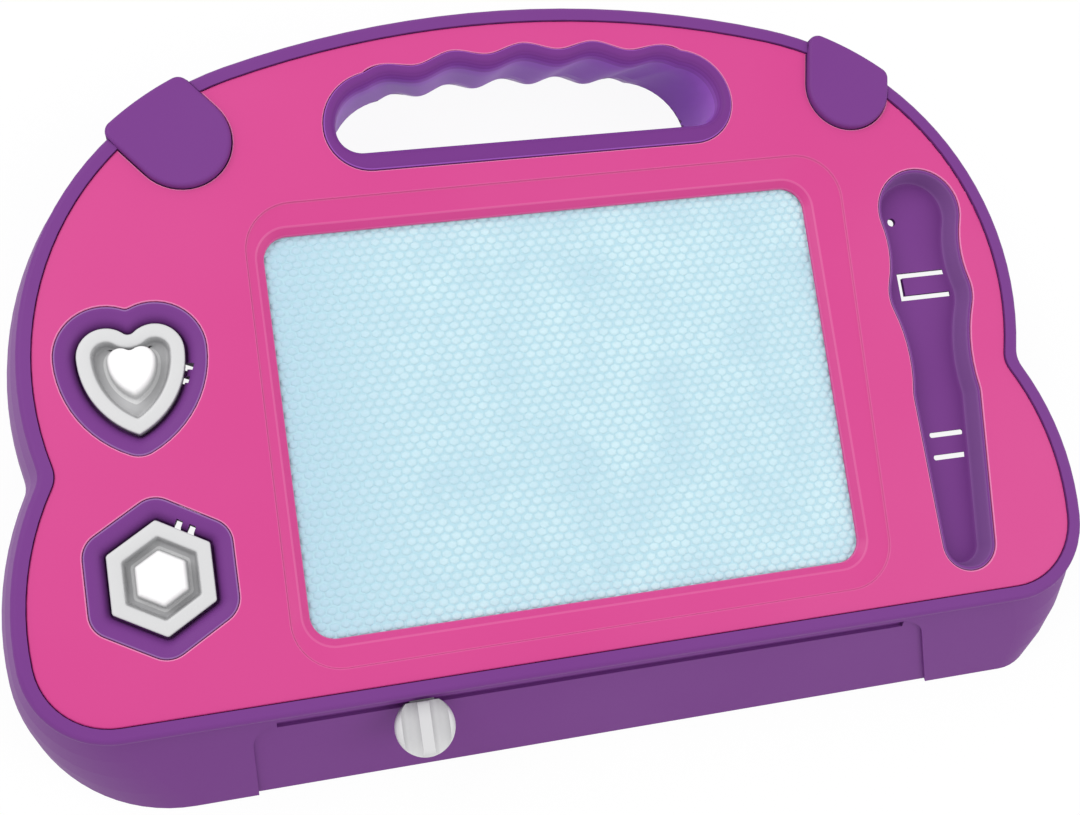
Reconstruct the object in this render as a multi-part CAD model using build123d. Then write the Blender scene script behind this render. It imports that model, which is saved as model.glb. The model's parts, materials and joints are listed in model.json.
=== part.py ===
from build123d import *
import os
from math import acos, atan2, cos, degrees, hypot, pi, radians, sin, sqrt

os.makedirs("parts", exist_ok=True)

# Magnetic drawing board, lying on its back: +Z out of the screen, +X right, +Y towards the handle.
# The outline is drawn from the middle of the panel's lower edge, then moved to centre the board.

# Overall body
case_depth = 42.0            # back to the face of the front panel
wall = 2.6                   # side walls of the rear case
apron_wall = 4.8             # sloping lower wall, which carries the knob's channel
floor_thick = 2.4            # back of the rear case
overrun = 1.0                # how far a cut runs past the face it opens
joint_gap = 0.15             # side clearance where one moulding drops into another
hole_gap = 0.1               # radial clearance of a screw in its hole

# Screen, which the rest of the front is laid out around
screen_width = 188.2         # nominal screen; its mouth in the panel is a little out of square
screen_height = 132.1
screen_foot = 17.15          # panel's lower edge to the screen
screen_x = 3.0

# Outline of the front panel
side_band = 69.7             # screen to the side of the panel
bulge_out = 9.0              # lower bulges outside the shoulders
headroom = 48.7              # foot of the handle to the top of the dome
shoulder_below = 28.6        # shoulder's centre below the head of the pen tray
shoulder_round_share = 0.9132   # shoulder's radius, of its height below the dome's top
bulge_height_share = 0.287   # bulge's middle, of the shoulder's height
bulge_radius = 92.0
waist_radius = 9.0           # hollow between shoulder and bulge
corner_radius = 24.0         # lower corners of the panel

# Rim and sloping walls of the rear case
rim_width = 5.0              # rolled rim outside the panel
rim_proud = 0.7              # rim above the panel's face
rim_round = 2.0
belt_drop = 5.5              # panel face down to where the walls begin to slope
side_flare = 7.4             # how far the sides spread towards the back
wall_steps = 4               # straight steps that make up the belly of the side walls
apron_drop = 30.0            # lower edge of the back below the panel's lower edge
back_corner_left = 54.0      # lower corners of the back
back_corner_right = 16.0
ledge_width = 3.0            # shelf that carries the edge of the panel

# Front panel and bezel
panel_thick = 2.4
screen_corner = 8.0
mouth_offsets = ((0.3, 0.0), (0.0, 0.0), (2.3, 1.3), (0.3, 0.6))
screen_recess = 3.6          # panel face down to the bezel's inner edge
bezel_lip = 1.2              # thickness of the bezel over the screen
bezel_offsets = ((-6.1, -9.7), (9.4, -9.7), (16.5, 11.9), (-5.2, 11.0))
bezel_radius = 16.0
bezel_step = 0.6             # fine step round the slope
bezel_fold = 2.6             # steep last stretch of the slope round the mouth
bezel_fold_drop = 1.5        # panel face down to where it starts
shroud_side = 13.5           # thicker panel round the screen
shroud_end = 10.0
shroud_corner = 18.0
film_thick = 0.4
core_thick = 1.6
sheet_side = 10.0            # how far the sheets run under the bezel
sheet_end = 8.0

# Clamp frame, rails and screws behind the screen
frame_thick = 3.0
frame_side = 14.0            # outer edge of the frame beside the screen opening
frame_end = 13.6
frame_window_side = 7.0      # inner edge of the frame beside the screen opening
frame_window_end = 3.0
frame_corner = 3.0
frame_screw_shares = (-0.93, 0.0, 0.93)   # along half the screen width
frame_screw_edge = 2.7       # screw axis in from the frame's long edge
small_shank = 1.2
small_head = 2.4
small_head_thick = 1.5
boss_wall = 1.2
rail_wall = 1.5
rail_lip = 3.6
rail_height = 6.2
rail_gap = 0.3               # running clearance of the carrier in its rails

# Eraser carrier, magnet and knob
bar_width = 10.0
bar_thick = 4.0
magnet_width = 6.0
magnet_thick = 3.0
magnet_seat = 1.4            # depth of the magnet's groove
magnet_end = 3.0             # magnet short of the screen opening at each end
backing_gap = 0.5            # magnet to the back of the screen
knob_in = 32.4               # knob from the screen's left edge
arm_width = 8.0
arm_thick = 4.0
arm_root = 8.0               # how far the arm reaches under the bar
arm_clear = 0.9              # arm below the lower rail
post_thick = 4.8             # post at the arm's end, which carries the knob's tongue
tongue_gap = 0.4             # tongue to the slot above and below
tongue_end = 2.6             # inner end of the tongue past the panel's lower edge
knob_width = 19.4
knob_length = 17.8           # root to tip
knob_thick = 6.6
knob_under = 0.8             # underside of the knob below its tongue
knob_off = 0.6               # root of the knob outside the channel's upper edge
knob_crown = 2.4             # rounding of the knob's upper edge
knob_low_round = 0.9
groove_apart = 9.6           # two grooves between three ribs
groove_radius = 3.0
groove_depth = 2.2

# Channel and slot in the sloping lower wall
channel_out_left = 21.9      # channel past the screen's left edge
channel_out_right = 19.4
channel_spread = 14.0        # how much further right it ends at the back edge
channel_top = 7.0            # panel face down to the channel's upper edge
channel_depth = 1.0
channel_corner = 12.0
groove_strip = 4.4           # deeper strip under the channel's upper edge, which takes the slot
groove_strip_depth = 2.3
slot_out = 13.9              # slot past the screen at both ends
slot_height = 3.4
slot_under = 0.2             # top of the slot below the channel's upper edge

# Handle
handle_off = 3.0             # handle's middle from the screen's
handle_half = 72.0
handle_margin = 19.55        # screen to the foot of the handle
handle_low_radius = 15.4
handle_end_radius = 19.0
handle_arch_radius = 300.0
handle_flange = 4.5          # flange beside and above the opening
handle_foot_flange = 7.2     # flange below it
handle_back_rise = 10.0      # how far the opening's roof climbs towards the back
handle_wall = 2.2
handle_proud = 0.6
scallop_depth = 1.4
scallop_count = 4.5
hidden_flange = 3.0          # edge of an insert that lies under the panel
hidden_thick = 2.0

# Corner clips
clip_left_in = 11.0          # tongue's middle in from the panel's edge
clip_left_radius = 16.2
clip_left_place_angle = 121.0   # seen from the shoulder's centre
clip_left_side_angle = 130.0    # direction of the tongue's sides
clip_right_in = 5.7
clip_right_radius = 15.2
clip_right_place_angle = 53.9
clip_right_side_angle = 79.0
clip_length = 50.0           # tongue's middle to past the rim
clip_corner = 4.0
clip_over = 2.9              # cap outside the rim
clip_skirt = 11.0            # how far it reaches down the side
clip_proud = 1.6
clip_gap = 0.35
clip_seat = 0.1              # clearance of the cap over the rim
clip_round = 0.9

# Heart and hexagon stamps and their pockets
heart_out = 45.1             # heart's middle from the screen
heart_height_share = 0.744   # lobes' middle, up the screen's side
heart_width_share = 0.2544   # of the screen's height
heart_lobe_share = 0.2738    # of the heart's width
heart_drop_share = 0.774     # lobes' middle to the point, of the heart's width
heart_tip = 0.9
heart_cleft = 2.5            # least radius of the hollow between the lobes
hexagon_out = 43.5
hexagon_height_share = 0.2
hexagon_flat_share = 0.2415  # across flats, of the screen's height
hexagon_round = 1.2
pocket_width = 7.0           # purple band round a stamp
pocket_lip = 1.2             # flat rim of the pocket
pocket_drop = 0.3            # rim of the pocket below the panel's face
pocket_floor_drop = 7.0      # panel face down to the pocket's floor
pocket_floor = 2.0
stamp_gap = 0.6
pocket_wall = 1.8
stamp_rim = 4.4
stamp_top_drop = 0.3         # top of a stamp's rim below the panel's face
stamp_recess = 4.6
heart_knob_width = 15.4
hexagon_knob_flat = 16.0
knob_rise = 1.8              # stamp knob above the stamp's rim
knob_round = 1.5
foot_magnet_inset = 5.0
foot_magnet_thick = 1.2
foot_gap = 0.1
notch_width = 2.2
notch_length = 3.2
notch_apart = 4.4
notch_out = 2.9              # middle of a notch outside the stamp
heart_notch_angle = -24.0
hexagon_notch_angle = 60.0

# Pen tray
tray_head_out = 44.3         # middles from the screen's right edge
tray_body_out = 42.8
tray_stem_out = 41.7
tray_tip_out = 39.2
tray_head_radius = 15.5
tray_body_radius = 15.9
tray_stem_radius = 12.7
tray_tip_radius = 9.8
tray_head_down = 12.65       # head's middle below the screen's top
tray_body_down = 30.1        # body's middle below the head's
tray_stem_down = 66.6
tray_tip_up = 0.4           # tip's middle above the screen's foot
tray_neck_radius = 40.0      # hollows between head and body
tray_hip_radius = 60.0       # hollows between body and stem
tray_drop = 0.3
tray_depth = 7.7
tray_floor = 1.8
tray_slope = 3.0             # width of the wall round the tray's floor
tab_offset = (-7.9, 4.6)     # left end of the sprung tab from the body's middle
tab_length = 19.8
tab_width = 10.2
slit = 1.9
cord_slot_offset = (1.0, -17.4)   # from the stem's middle
cord_slot_length = 13.6
cord_slot_apart = 8.1
cord_hole_offset = (-7.6, -1.3)   # from the head's middle
cord_hole_radius = 1.5

# Case screws
screw_shank = 1.5
screw_head = 3.0
screw_head_thick = 2.2
boss_radius = 4.4
boss_top_drop = 9.0          # panel face down to where the two bosses meet
counterbore_deep = 20.0      # screw head up from the back
thread_bite = 5.4
screw_offsets = (            # from the feature beside each screw
    (8.8, 11.8), (-10.6, 29.7), (-17.0, 5.9), (10.4, 9.8),
    (-3.9, 27.0), (-12.3, -8.0), (-26.9, 8.3), (20.9, 8.3),
)

# Windows in the back behind the through slots: offset of the middle, width and height
window_tab = (19.6, 11.0, 27.0, 24.0)
window_cord = (20.2, -15.0, 24.0, 24.0)
window_hole = (11.2, 8.0, 10.0, 10.0)
window_heart = (14.7, -2.9, 15.0, 15.0)
window_hexagon = (5.6, 18.9, 16.0, 15.0)
window_corner = 2.0

# Layout of the front, which follows from the values above
screen_left = screen_x - screen_width / 2
screen_right = screen_x + screen_width / 2
screen_low_y = screen_foot
screen_high_y = screen_foot + screen_height
screen_y = (screen_low_y + screen_high_y) / 2
handle_x = screen_x + handle_off
handle_foot_y = screen_high_y + handle_margin
handle_mid_y = handle_foot_y + handle_low_radius
tray_head_y = screen_high_y - tray_head_down
tray_head = (screen_right + tray_head_out, tray_head_y, tray_head_radius)
tray_body = (screen_right + tray_body_out, tray_head_y - tray_body_down, tray_body_radius)
tray_stem = (screen_right + tray_stem_out, tray_head_y - tray_stem_down, tray_stem_radius)
tray_tip = (screen_right + tray_tip_out, screen_low_y + tray_tip_up, tray_tip_radius)
dome_height = handle_foot_y + headroom
shoulder_half = screen_right + side_band
shoulder_y = tray_head_y - shoulder_below
shoulder_radius = shoulder_round_share * (dome_height - shoulder_y)
bulge_half = shoulder_half + bulge_out
bulge_y = bulge_height_share * shoulder_y
heart_x = screen_left - heart_out
heart_y = screen_low_y + heart_height_share * screen_height
heart_width = heart_width_share * screen_height
heart_lobe = heart_lobe_share * heart_width
heart_drop = heart_drop_share * heart_width
hexagon_x = screen_left - hexagon_out
hexagon_y = screen_low_y + hexagon_height_share * screen_height
hexagon_flat = hexagon_flat_share * screen_height
knob_x = screen_left + knob_in
channel_left = screen_left - channel_out_left
channel_right = screen_right + channel_out_right
slot_left = screen_left - slot_out
slot_right = screen_right + slot_out

# Heights that follow from the values above
face_z = case_depth
panel_back_z = face_z - panel_thick
belt_z = face_z - belt_drop
rim_z = face_z + rim_proud
bezel_z = face_z - screen_recess
film_top_z = bezel_z - bezel_lip
core_top_z = film_top_z - film_thick
core_back_z = core_top_z - core_thick
sheet_back_z = core_back_z - film_thick
frame_back_z = sheet_back_z - frame_thick
bar_top_z = frame_back_z - rail_gap
rail_back_z = frame_back_z - rail_height
magnet_top_z = sheet_back_z - backing_gap
arm_top_z = rail_back_z - arm_clear
arm_low_z = arm_top_z - arm_thick
channel_top_z = face_z - channel_top
slot_high_z = channel_top_z - slot_under
slot_low_z = slot_high_z - slot_height
tongue_high_z = slot_high_z - tongue_gap
tongue_low_z = slot_low_z + tongue_gap
knob_low_z = tongue_low_z - knob_under
knob_high_z = knob_low_z + knob_thick
frame_low_y = screen_low_y - frame_end
frame_high_y = screen_high_y + frame_end
window_low_y = screen_low_y - frame_window_end
window_high_y = screen_high_y + frame_window_end
boss_top_z = face_z - boss_top_drop
hidden_z = panel_back_z - hidden_thick
pocket_top_z = face_z - pocket_drop
pocket_floor_z = face_z - pocket_floor_drop
stamp_top_z = face_z - stamp_top_drop
tray_top_z = face_z - tray_drop
tray_floor_z = tray_top_z - tray_depth
back_top = dome_height + rim_width + side_flare
board_middle_y = (back_top - apron_drop) / 2

# Slope of the lower wall between the belt and the back
apron_rise = belt_z
apron_run = apron_drop - rim_width
apron_angle = degrees(atan2(apron_run, apron_rise))
knob_root_y = -rim_width - (belt_z - channel_top_z) * apron_run / apron_rise - knob_off
knob_screw_y = tongue_end - post_thick / 2


def on_circle(centre, radius, angle):
    """Point of a circle at an angle in degrees."""
    return (centre[0] + radius * cos(radians(angle)), centre[1] + radius * sin(radians(angle)))


def heading(start, end):
    """Angle in degrees from one point to another."""
    return degrees(atan2(end[1] - start[1], end[0] - start[0]))


def arc(centre, radius, start, end):
    """Arc of a circle between two angles, through the angle halfway."""
    return ThreePointArc(
        on_circle(centre, radius, start),
        on_circle(centre, radius, (start + end) / 2),
        on_circle(centre, radius, end),
    )


def outer_meeting(first, first_reach, second, second_reach, side):
    """Point at given distances from two centres, on the side of larger or smaller X."""
    apart = hypot(second[0] - first[0], second[1] - first[1])
    along = (first_reach**2 - second_reach**2 + apart**2) / (2 * apart)
    across = side * sqrt(first_reach**2 - along**2)
    unit = ((second[0] - first[0]) / apart, (second[1] - first[1]) / apart)
    return (
        first[0] + unit[0] * along - unit[1] * across,
        first[1] + unit[1] * along + unit[0] * across,
    )


def mirrored(edge):
    """The same edge on the other side of the middle plane."""
    return mirror(edge, Plane.YZ)


def slab(face, low, high):
    """Upright prism of a flat face between two heights."""
    return extrude(Pos(0, 0, low) * face, amount=high - low)


def taper(low_face, low, high_face, high):
    """Straight-sided body between two outlines with the same edges."""
    sections = [Pos(0, 0, low) * low_face, Pos(0, 0, high) * high_face]
    return loft(sections, ruled=True)


def rod(radius, low, high):
    """Upright cylinder between two heights."""
    return Pos(0, 0, low) * Cylinder(radius, high - low, align=(Align.CENTER, Align.CENTER, Align.MIN))


def block(low_x, high_x, low_y, high_y, low_z, high_z):
    """Box between two corners."""
    size = (high_x - low_x, high_y - low_y, high_z - low_z)
    return Pos(low_x, low_y, low_z) * Box(*size, align=Align.MIN)


def board_side(grow, drop, corner):
    """Right half of the board's outline, from the lower middle to the top."""
    shoulder = (shoulder_half - shoulder_radius, shoulder_y)
    bulge = (bulge_half - bulge_radius, bulge_y)
    rise = dome_height - shoulder_y
    lead = shoulder_half - shoulder_radius
    crown_radius = (lead**2 + rise**2 - shoulder_radius**2) / (2 * (rise - shoulder_radius))
    crown = (0, dome_height - crown_radius)
    waist = outer_meeting(
        bulge, bulge_radius + grow + waist_radius, shoulder, shoulder_radius + grow + waist_radius, -1
    )
    corner_y = corner - drop
    corner_out = sqrt((bulge_radius + grow - corner) ** 2 - (corner_y - bulge_y) ** 2)
    corner_centre = (bulge[0] + corner_out, corner_y)
    crown_angle = heading(crown, shoulder)
    return [
        Line((0, -drop), (corner_centre[0], -drop)),
        arc(corner_centre, corner, -90, heading(bulge, corner_centre)),
        arc(bulge, bulge_radius + grow, heading(bulge, corner_centre), heading(bulge, waist)),
        arc(waist, waist_radius, heading(waist, bulge) + 360, heading(waist, shoulder)),
        arc(shoulder, shoulder_radius + grow, heading(shoulder, waist), crown_angle),
        arc(crown, crown_radius + grow, crown_angle, 90),
    ]


def board_outline(grow, drop, left_corner, right_corner):
    """Outline of the board, grown outwards, with its lower edge dropped."""
    left = [mirrored(edge) for edge in board_side(grow, drop, left_corner)]
    return make_face(board_side(grow, drop, right_corner) + left)


def panel_outline(grow):
    """The panel's outline, grown the same all round."""
    return board_outline(grow, grow, corner_radius + grow, corner_radius + grow)


def wall_outline(height, side_inset, apron_inset):
    """The outline of the bellied walls at a height, set in by the wall's thickness."""
    share = 1 - height / belt_z
    grow = rim_width + side_flare * share * (2 - share) - side_inset
    drop = rim_width + apron_run * share - apron_inset
    belt_corner = corner_radius + rim_width
    left = belt_corner + (back_corner_left - belt_corner) * share - side_inset
    right = belt_corner + (back_corner_right - belt_corner) * share - side_inset
    return board_outline(grow, drop, left, right)


def wall_body(low, side_inset, apron_inset):
    """Body inside the walls from a height up to the belt, in straight steps."""
    heights = [low + (belt_z - low) * i / wall_steps for i in range(wall_steps + 1)]
    sections = [Pos(0, 0, height) * wall_outline(height, side_inset, apron_inset) for height in heights]
    return loft(sections, ruled=True)


def screen_outline(side, end, corner):
    """Rounded rectangle about the screen, for the layers behind the panel."""
    size = (screen_width + 2 * side, screen_height + 2 * end)
    return Pos(screen_x, screen_y) * RectangleRounded(*size, corner)


def bezel_outline(offsets, radius, grow=0):
    """Four-sided outline with rounded corners, offset from the screen's corners and then grown."""
    xs = (screen_left, screen_right, screen_right, screen_left)
    ys = (screen_low_y, screen_low_y, screen_high_y, screen_high_y)
    ways = ((-1, -1), (1, -1), (1, 1), (-1, 1))
    corners = [
        (x + offset[0] + way[0] * grow, y + offset[1] + way[1] * grow)
        for x, y, offset, way in zip(xs, ys, offsets, ways)
    ]
    face = make_face(Polyline(*corners, close=True))
    return fillet(face.vertices(), radius + grow)


def heart_outline(width, lobe, drop, tip, grow):
    """Heart of two lobes with a hollow between them, two side arcs and a rounded point."""
    lobe_x = width / 2 - lobe
    side_radius = ((width / 2) ** 2 + drop**2) / width
    side_x = width / 2 - side_radius
    tip_round = max(tip + grow, tip)
    tip_y = -sqrt((side_radius + grow - tip_round) ** 2 - side_x**2)
    cleft_round = max(heart_cleft - grow, heart_cleft)
    cleft = (0, sqrt((lobe + grow + cleft_round) ** 2 - lobe_x**2))
    lobe_start = heading((lobe_x, 0), cleft)
    side_end = heading((side_x, 0), (0, tip_y))
    half = [
        arc((lobe_x, 0), lobe + grow, lobe_start, 0),
        arc((side_x, 0), side_radius + grow, 0, side_end),
        arc((0, tip_y), tip_round, side_end, -90),
        arc(cleft, cleft_round, -90, heading(cleft, (lobe_x, 0))),
    ]
    return make_face(half + [mirrored(edge) for edge in half])


def stamp_heart(grow):
    return Pos(heart_x, heart_y) * heart_outline(heart_width, heart_lobe, heart_drop, heart_tip, grow)


def hexagon_outline(flat, corner, grow):
    """Hexagon standing on a point, with rounded corners."""
    corner_round = max(corner + grow, corner)
    reach = (flat / 2 + grow - corner_round) / cos(radians(30))
    turns = [30 + 60 * i for i in range(6)]
    corners = [arc(on_circle((0, 0), reach, a), corner_round, a - 30, a + 30) for a in turns]
    sides = [Line(corners[i - 1] @ 1, corners[i] @ 0) for i in range(6)]
    return make_face(corners + sides)


def stamp_hexagon(grow):
    return Pos(hexagon_x, hexagon_y) * hexagon_outline(hexagon_flat, hexagon_round, grow)


def hollow_centre(lower, upper, radius, side):
    """Centre of the hollow arc that joins two circles on one side."""
    return outer_meeting(lower[:2], lower[2] + radius, upper[:2], upper[2] + radius, side)


def tray_outline(grow):
    """Round head, drawn-in neck, round body, hollow hips and a straight stem with a round tip."""
    head, body, stem, tip = (place[:2] for place in (tray_head, tray_body, tray_stem, tray_tip))
    head_round, body_round, stem_round, tip_round = (
        place[2] + grow for place in (tray_head, tray_body, tray_stem, tray_tip)
    )
    neck_right = hollow_centre(tray_body, tray_head, tray_neck_radius, -1)
    neck_left = hollow_centre(tray_body, tray_head, tray_neck_radius, 1)
    hip_right = hollow_centre(tray_stem, tray_body, tray_hip_radius, -1)
    hip_left = hollow_centre(tray_stem, tray_body, tray_hip_radius, 1)
    down = heading(stem, tip)
    lean = degrees(acos((stem_round - tip_round) / hypot(tip[0] - stem[0], tip[1] - stem[1])))
    neck = tray_neck_radius - grow
    hip = tray_hip_radius - grow
    edges = [
        arc(head, head_round, heading(head, neck_right), heading(head, neck_left) + 360),
        arc(neck_right, neck, heading(neck_right, head), heading(neck_right, body) + 360),
        arc(body, body_round, heading(body, hip_right), heading(body, neck_right)),
        arc(hip_right, hip, heading(hip_right, body), heading(hip_right, stem) + 360),
        arc(stem, stem_round, down + lean, heading(stem, hip_right)),
        Line(on_circle(stem, stem_round, down + lean), on_circle(tip, tip_round, down + lean)),
        arc(tip, tip_round, down - lean, down + lean),
        Line(on_circle(tip, tip_round, down - lean), on_circle(stem, stem_round, down - lean)),
        arc(stem, stem_round, heading(stem, hip_left), down - lean + 360),
        arc(hip_left, hip, heading(hip_left, stem), heading(hip_left, body)),
        arc(body, body_round, heading(body, neck_left), heading(body, hip_left) + 360),
        arc(neck_left, neck, heading(neck_left, body), heading(neck_left, head)),
    ]
    return make_face(edges)


def handle_outline(inset, foot_inset, rise):
    """Straight foot, round ends and an arched top with finger scallops."""
    half = handle_half - inset
    foot = handle_foot_y + foot_inset
    low_radius = handle_low_radius - foot_inset
    end_radius = handle_end_radius - inset + rise
    end_x = half - end_radius
    arch_y = handle_mid_y - sqrt((handle_arch_radius - end_radius) ** 2 - end_x**2)
    arch_angle = heading((0, arch_y), (end_x, handle_mid_y))
    edge_x = on_circle((0, arch_y), handle_arch_radius, arch_angle)[0]
    wave = 2 * edge_x / scallop_count
    steps = round(4 * scallop_count)
    crest = []
    for i in range(steps + 1):
        x = edge_x - 2 * edge_x * i / steps
        height = arch_y + sqrt(handle_arch_radius**2 - x**2)
        crest.append((x, height + scallop_depth * cos(2 * pi * x / wave)))
    ends = [
        arc((half - low_radius, handle_mid_y), low_radius, -90, 0),
        arc((end_x, handle_mid_y), end_radius, 0, arch_angle),
    ]
    foot_line = Line((low_radius - half, foot), (half - low_radius, foot))
    edges = [foot_line, Spline(*crest)] + ends + [mirrored(edge) for edge in ends]
    return Pos(handle_x) * make_face(edges)


def clip_place(side):
    """Middle, direction and radius of a clip's tongue; side is -1 on the left."""
    inward, angle, turn, radius = (
        (clip_left_in, clip_left_place_angle, clip_left_side_angle, clip_left_radius) if side < 0
        else (clip_right_in, clip_right_place_angle, clip_right_side_angle, clip_right_radius)
    )
    shoulder = (side * (shoulder_half - shoulder_radius), shoulder_y)
    return on_circle(shoulder, shoulder_radius - inward, angle), turn, radius


def clip_outline(side, grow):
    """Round tongue that runs out past the rim."""
    middle, angle, radius = clip_place(side)
    turn = Pos(*middle) * Rot(0, 0, angle)
    band = turn * Pos(clip_length / 2, 0) * Rectangle(clip_length, 2 * (radius + grow))
    return turn * Circle(radius + grow) + band


def apron_frame(x, drop, inward):
    """Plane on the sloping lower wall: Z out of the wall, X along the board."""
    height = face_z - drop
    out = rim_width + (belt_z - height) * apron_run / apron_rise
    normal = (0, -cos(radians(apron_angle)), sin(radians(apron_angle)))
    origin = (x, -out - inward * normal[1], height - inward * normal[2])
    return Plane(origin=origin, x_dir=(1, 0, 0), z_dir=normal)


def screw_places():
    """Axes of the screws that close the case."""
    handle_end = handle_x + handle_half
    beside = (
        (-bulge_half, bulge_y), (heart_x, heart_y), (handle_x - handle_half, handle_mid_y),
        (handle_end, handle_mid_y), tray_head[:2], (bulge_half, bulge_y), (screen_left, 0), (screen_right, 0),
    )
    return [(x + offset[0], y + offset[1]) for (x, y), offset in zip(beside, screw_offsets)]


def frame_screw_places():
    """Axes of the screws that hold the clamp frame."""
    rows = (frame_low_y + frame_screw_edge, frame_high_y - frame_screw_edge)
    return [(screen_x + share * screen_width / 2, y) for share in frame_screw_shares for y in rows]


def screw(shank, head, head_thick, low, reach):
    """Pan-head screw standing on its head."""
    head_body = rod(head, low, low + head_thick)
    top_ring = head_body.edges().sort_by(Axis.Z)[0]
    rounded = chamfer(top_ring, head_thick / 4)
    return rounded + rod(shank, low + head_thick, low + head_thick + reach)


def case_body():
    """Outer form of the case without its cavity."""
    walls = wall_body(0, 0, 0)
    rim = slab(panel_outline(rim_width), belt_z, rim_z)
    top = rim.edges().group_by(Axis.Z)[-1]
    return walls + fillet(top, rim_round)


def windows():
    """Openings in the back behind the slots of the tray and the pockets."""
    beside = (tray_body, tray_stem, tray_head, (heart_x, heart_y), (hexagon_x, hexagon_y))
    places = (window_tab, window_cord, window_hole, window_heart, window_hexagon)
    cuts = []
    for anchor, (x, y, width, height) in zip(beside, places):
        hole = Pos(anchor[0] + x, anchor[1] + y) * RectangleRounded(width, height, window_corner)
        cuts.append(slab(hole, -overrun, floor_thick + overrun))
    return cuts


def channel_cut():
    """Shallow channel in the sloping lower wall, open at the back edge and wider there."""
    length = apron_run + case_depth
    spread = channel_spread * length / hypot(apron_run, apron_rise)
    width = channel_right - channel_left
    corners = ((0, 0), (width, 0), (width + spread, -length), (0, -length))
    face = make_face(Polyline(*corners, close=True))
    face = fillet(face.vertices().group_by(Axis.Y)[-1], channel_corner)
    return extrude(apron_frame(channel_left, channel_top, channel_depth) * face, amount=apron_run)


def strip_cut():
    """Deeper strip right under the channel's upper edge, which hangs over the slot."""
    frame = apron_frame((slot_left + slot_right) / 2, channel_top, groove_strip_depth)
    shape = frame * Pos(0, -groove_strip / 2) * Rectangle(slot_right - slot_left, groove_strip)
    return extrude(shape, amount=apron_run)


def slot_cut():
    """Level slot under the channel's upper edge for the knob's tongue."""
    return block(slot_left, slot_right, -apron_drop, 0, slot_low_z, slot_high_z)


def rear_case():
    lower = wall_body(floor_thick, wall, apron_wall)
    mouth = slab(panel_outline(-ledge_width), belt_z - overrun, panel_back_z)
    seat = slab(panel_outline(joint_gap), panel_back_z, rim_z + overrun)
    body = case_body() - lower
    body -= mouth
    body -= seat
    for x, y in screw_places():
        post = Pos(x, y) * rod(boss_radius, floor_thick, boss_top_z)
        body += post & case_body()
    for x, y in screw_places():
        body -= Pos(x, y) * rod(screw_head + hole_gap, -overrun, counterbore_deep)
        body -= Pos(x, y) * rod(screw_shank + hole_gap, counterbore_deep, boss_top_z + overrun)
    grip = handle_outline(handle_flange, handle_foot_flange, handle_back_rise)
    body -= slab(grip, -overrun, floor_thick + overrun)
    for cut in windows():
        body -= cut
    body -= channel_cut()
    body -= strip_cut()
    body -= slot_cut()
    return body


def insert_cut(shape):
    """Opening in the panel for an insert."""
    return slab(shape, hidden_z - overrun, face_z + overrun)


def front_cover():
    plate = slab(panel_outline(0), panel_back_z, face_z)
    edge = plate.edges().group_by(Axis.Z)[-1]
    plate = fillet(edge, panel_thick / 4)
    shroud = screen_outline(shroud_side, shroud_end, shroud_corner)
    plate += slab(shroud, film_top_z, panel_back_z)
    step = bezel_outline(bezel_offsets, bezel_radius)
    mouth = bezel_outline(mouth_offsets, screen_corner)
    plate -= slab(step, face_z - bezel_step, face_z + overrun)
    fold = bezel_outline(mouth_offsets, screen_corner, bezel_fold)
    fold_z = face_z - bezel_fold_drop
    plate -= taper(mouth, bezel_z, fold, fold_z)
    plate -= taper(fold, fold_z, step, face_z - bezel_step)
    plate -= slab(mouth, film_top_z - overrun, face_z)
    for x, y in frame_screw_places():
        plate += Pos(x, y) * rod(small_shank + boss_wall, sheet_back_z, panel_back_z)
        plate -= Pos(x, y) * rod(small_shank + hole_gap, sheet_back_z - overrun, panel_back_z)
    for x, y in screw_places():
        plate += Pos(x, y) * rod(boss_radius - joint_gap, boss_top_z, panel_back_z)
        plate -= Pos(x, y) * rod(screw_shank + hole_gap, boss_top_z - overrun, panel_back_z)
    plate -= insert_cut(handle_outline(-joint_gap, -joint_gap, 0))
    plate -= insert_cut(stamp_heart(pocket_width + joint_gap))
    plate -= insert_cut(stamp_hexagon(pocket_width + joint_gap))
    plate -= insert_cut(tray_outline(joint_gap))
    for side in (-1, 1):
        plate -= slab(clip_outline(side, clip_gap), panel_back_z - overrun, face_z + overrun)
    return plate


def handle_ring():
    """Grip lining: flange in the panel, hidden edge under it and a sleeve to the back."""
    flange = slab(handle_outline(0, 0, 0), panel_back_z, face_z + handle_proud)
    top = flange.edges().group_by(Axis.Z)[-1]
    flange = chamfer(top, handle_proud)
    edge = hidden_edge(handle_outline(-hidden_flange, -hidden_flange, 0))
    front = (handle_flange, handle_foot_flange, 0)
    back = (handle_flange, handle_foot_flange, handle_back_rise)
    sleeve = taper(
        handle_outline(back[0] - handle_wall, back[1] - handle_wall, back[2]), floor_thick,
        handle_outline(front[0] - handle_wall, front[1] - handle_wall, front[2]), panel_back_z,
    )
    opening = taper(
        handle_outline(*back), 0,
        handle_outline(*front), face_z + handle_proud,
    )
    return flange + edge + sleeve - opening


def clip_seating():
    """Room that the caps leave for the rim, the wall and the seat of the panel."""
    rim = panel_outline(rim_width + clip_seat)
    room = wall_body(0, -clip_seat, -clip_seat)
    room += slab(rim, belt_z, rim_z + clip_seat)
    return room - slab(panel_outline(joint_gap), panel_back_z, rim_z + overrun)


def corner_clip(side):
    """Cap over the rim with its tongue let into the panel."""
    shape = clip_outline(side, 0) & panel_outline(rim_width + clip_over)
    centre = Vertex(*clip_place(side)[0])
    outer = shape.vertices().sort_by(lambda corner: corner.distance_to(centre))[-2:]
    cap = slab(fillet(outer, clip_corner), face_z - clip_skirt, rim_z + clip_proud)
    ring = cap.edges().group_by(Axis.Z)[-1]
    return chamfer(ring, clip_round) - clip_seating()


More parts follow.
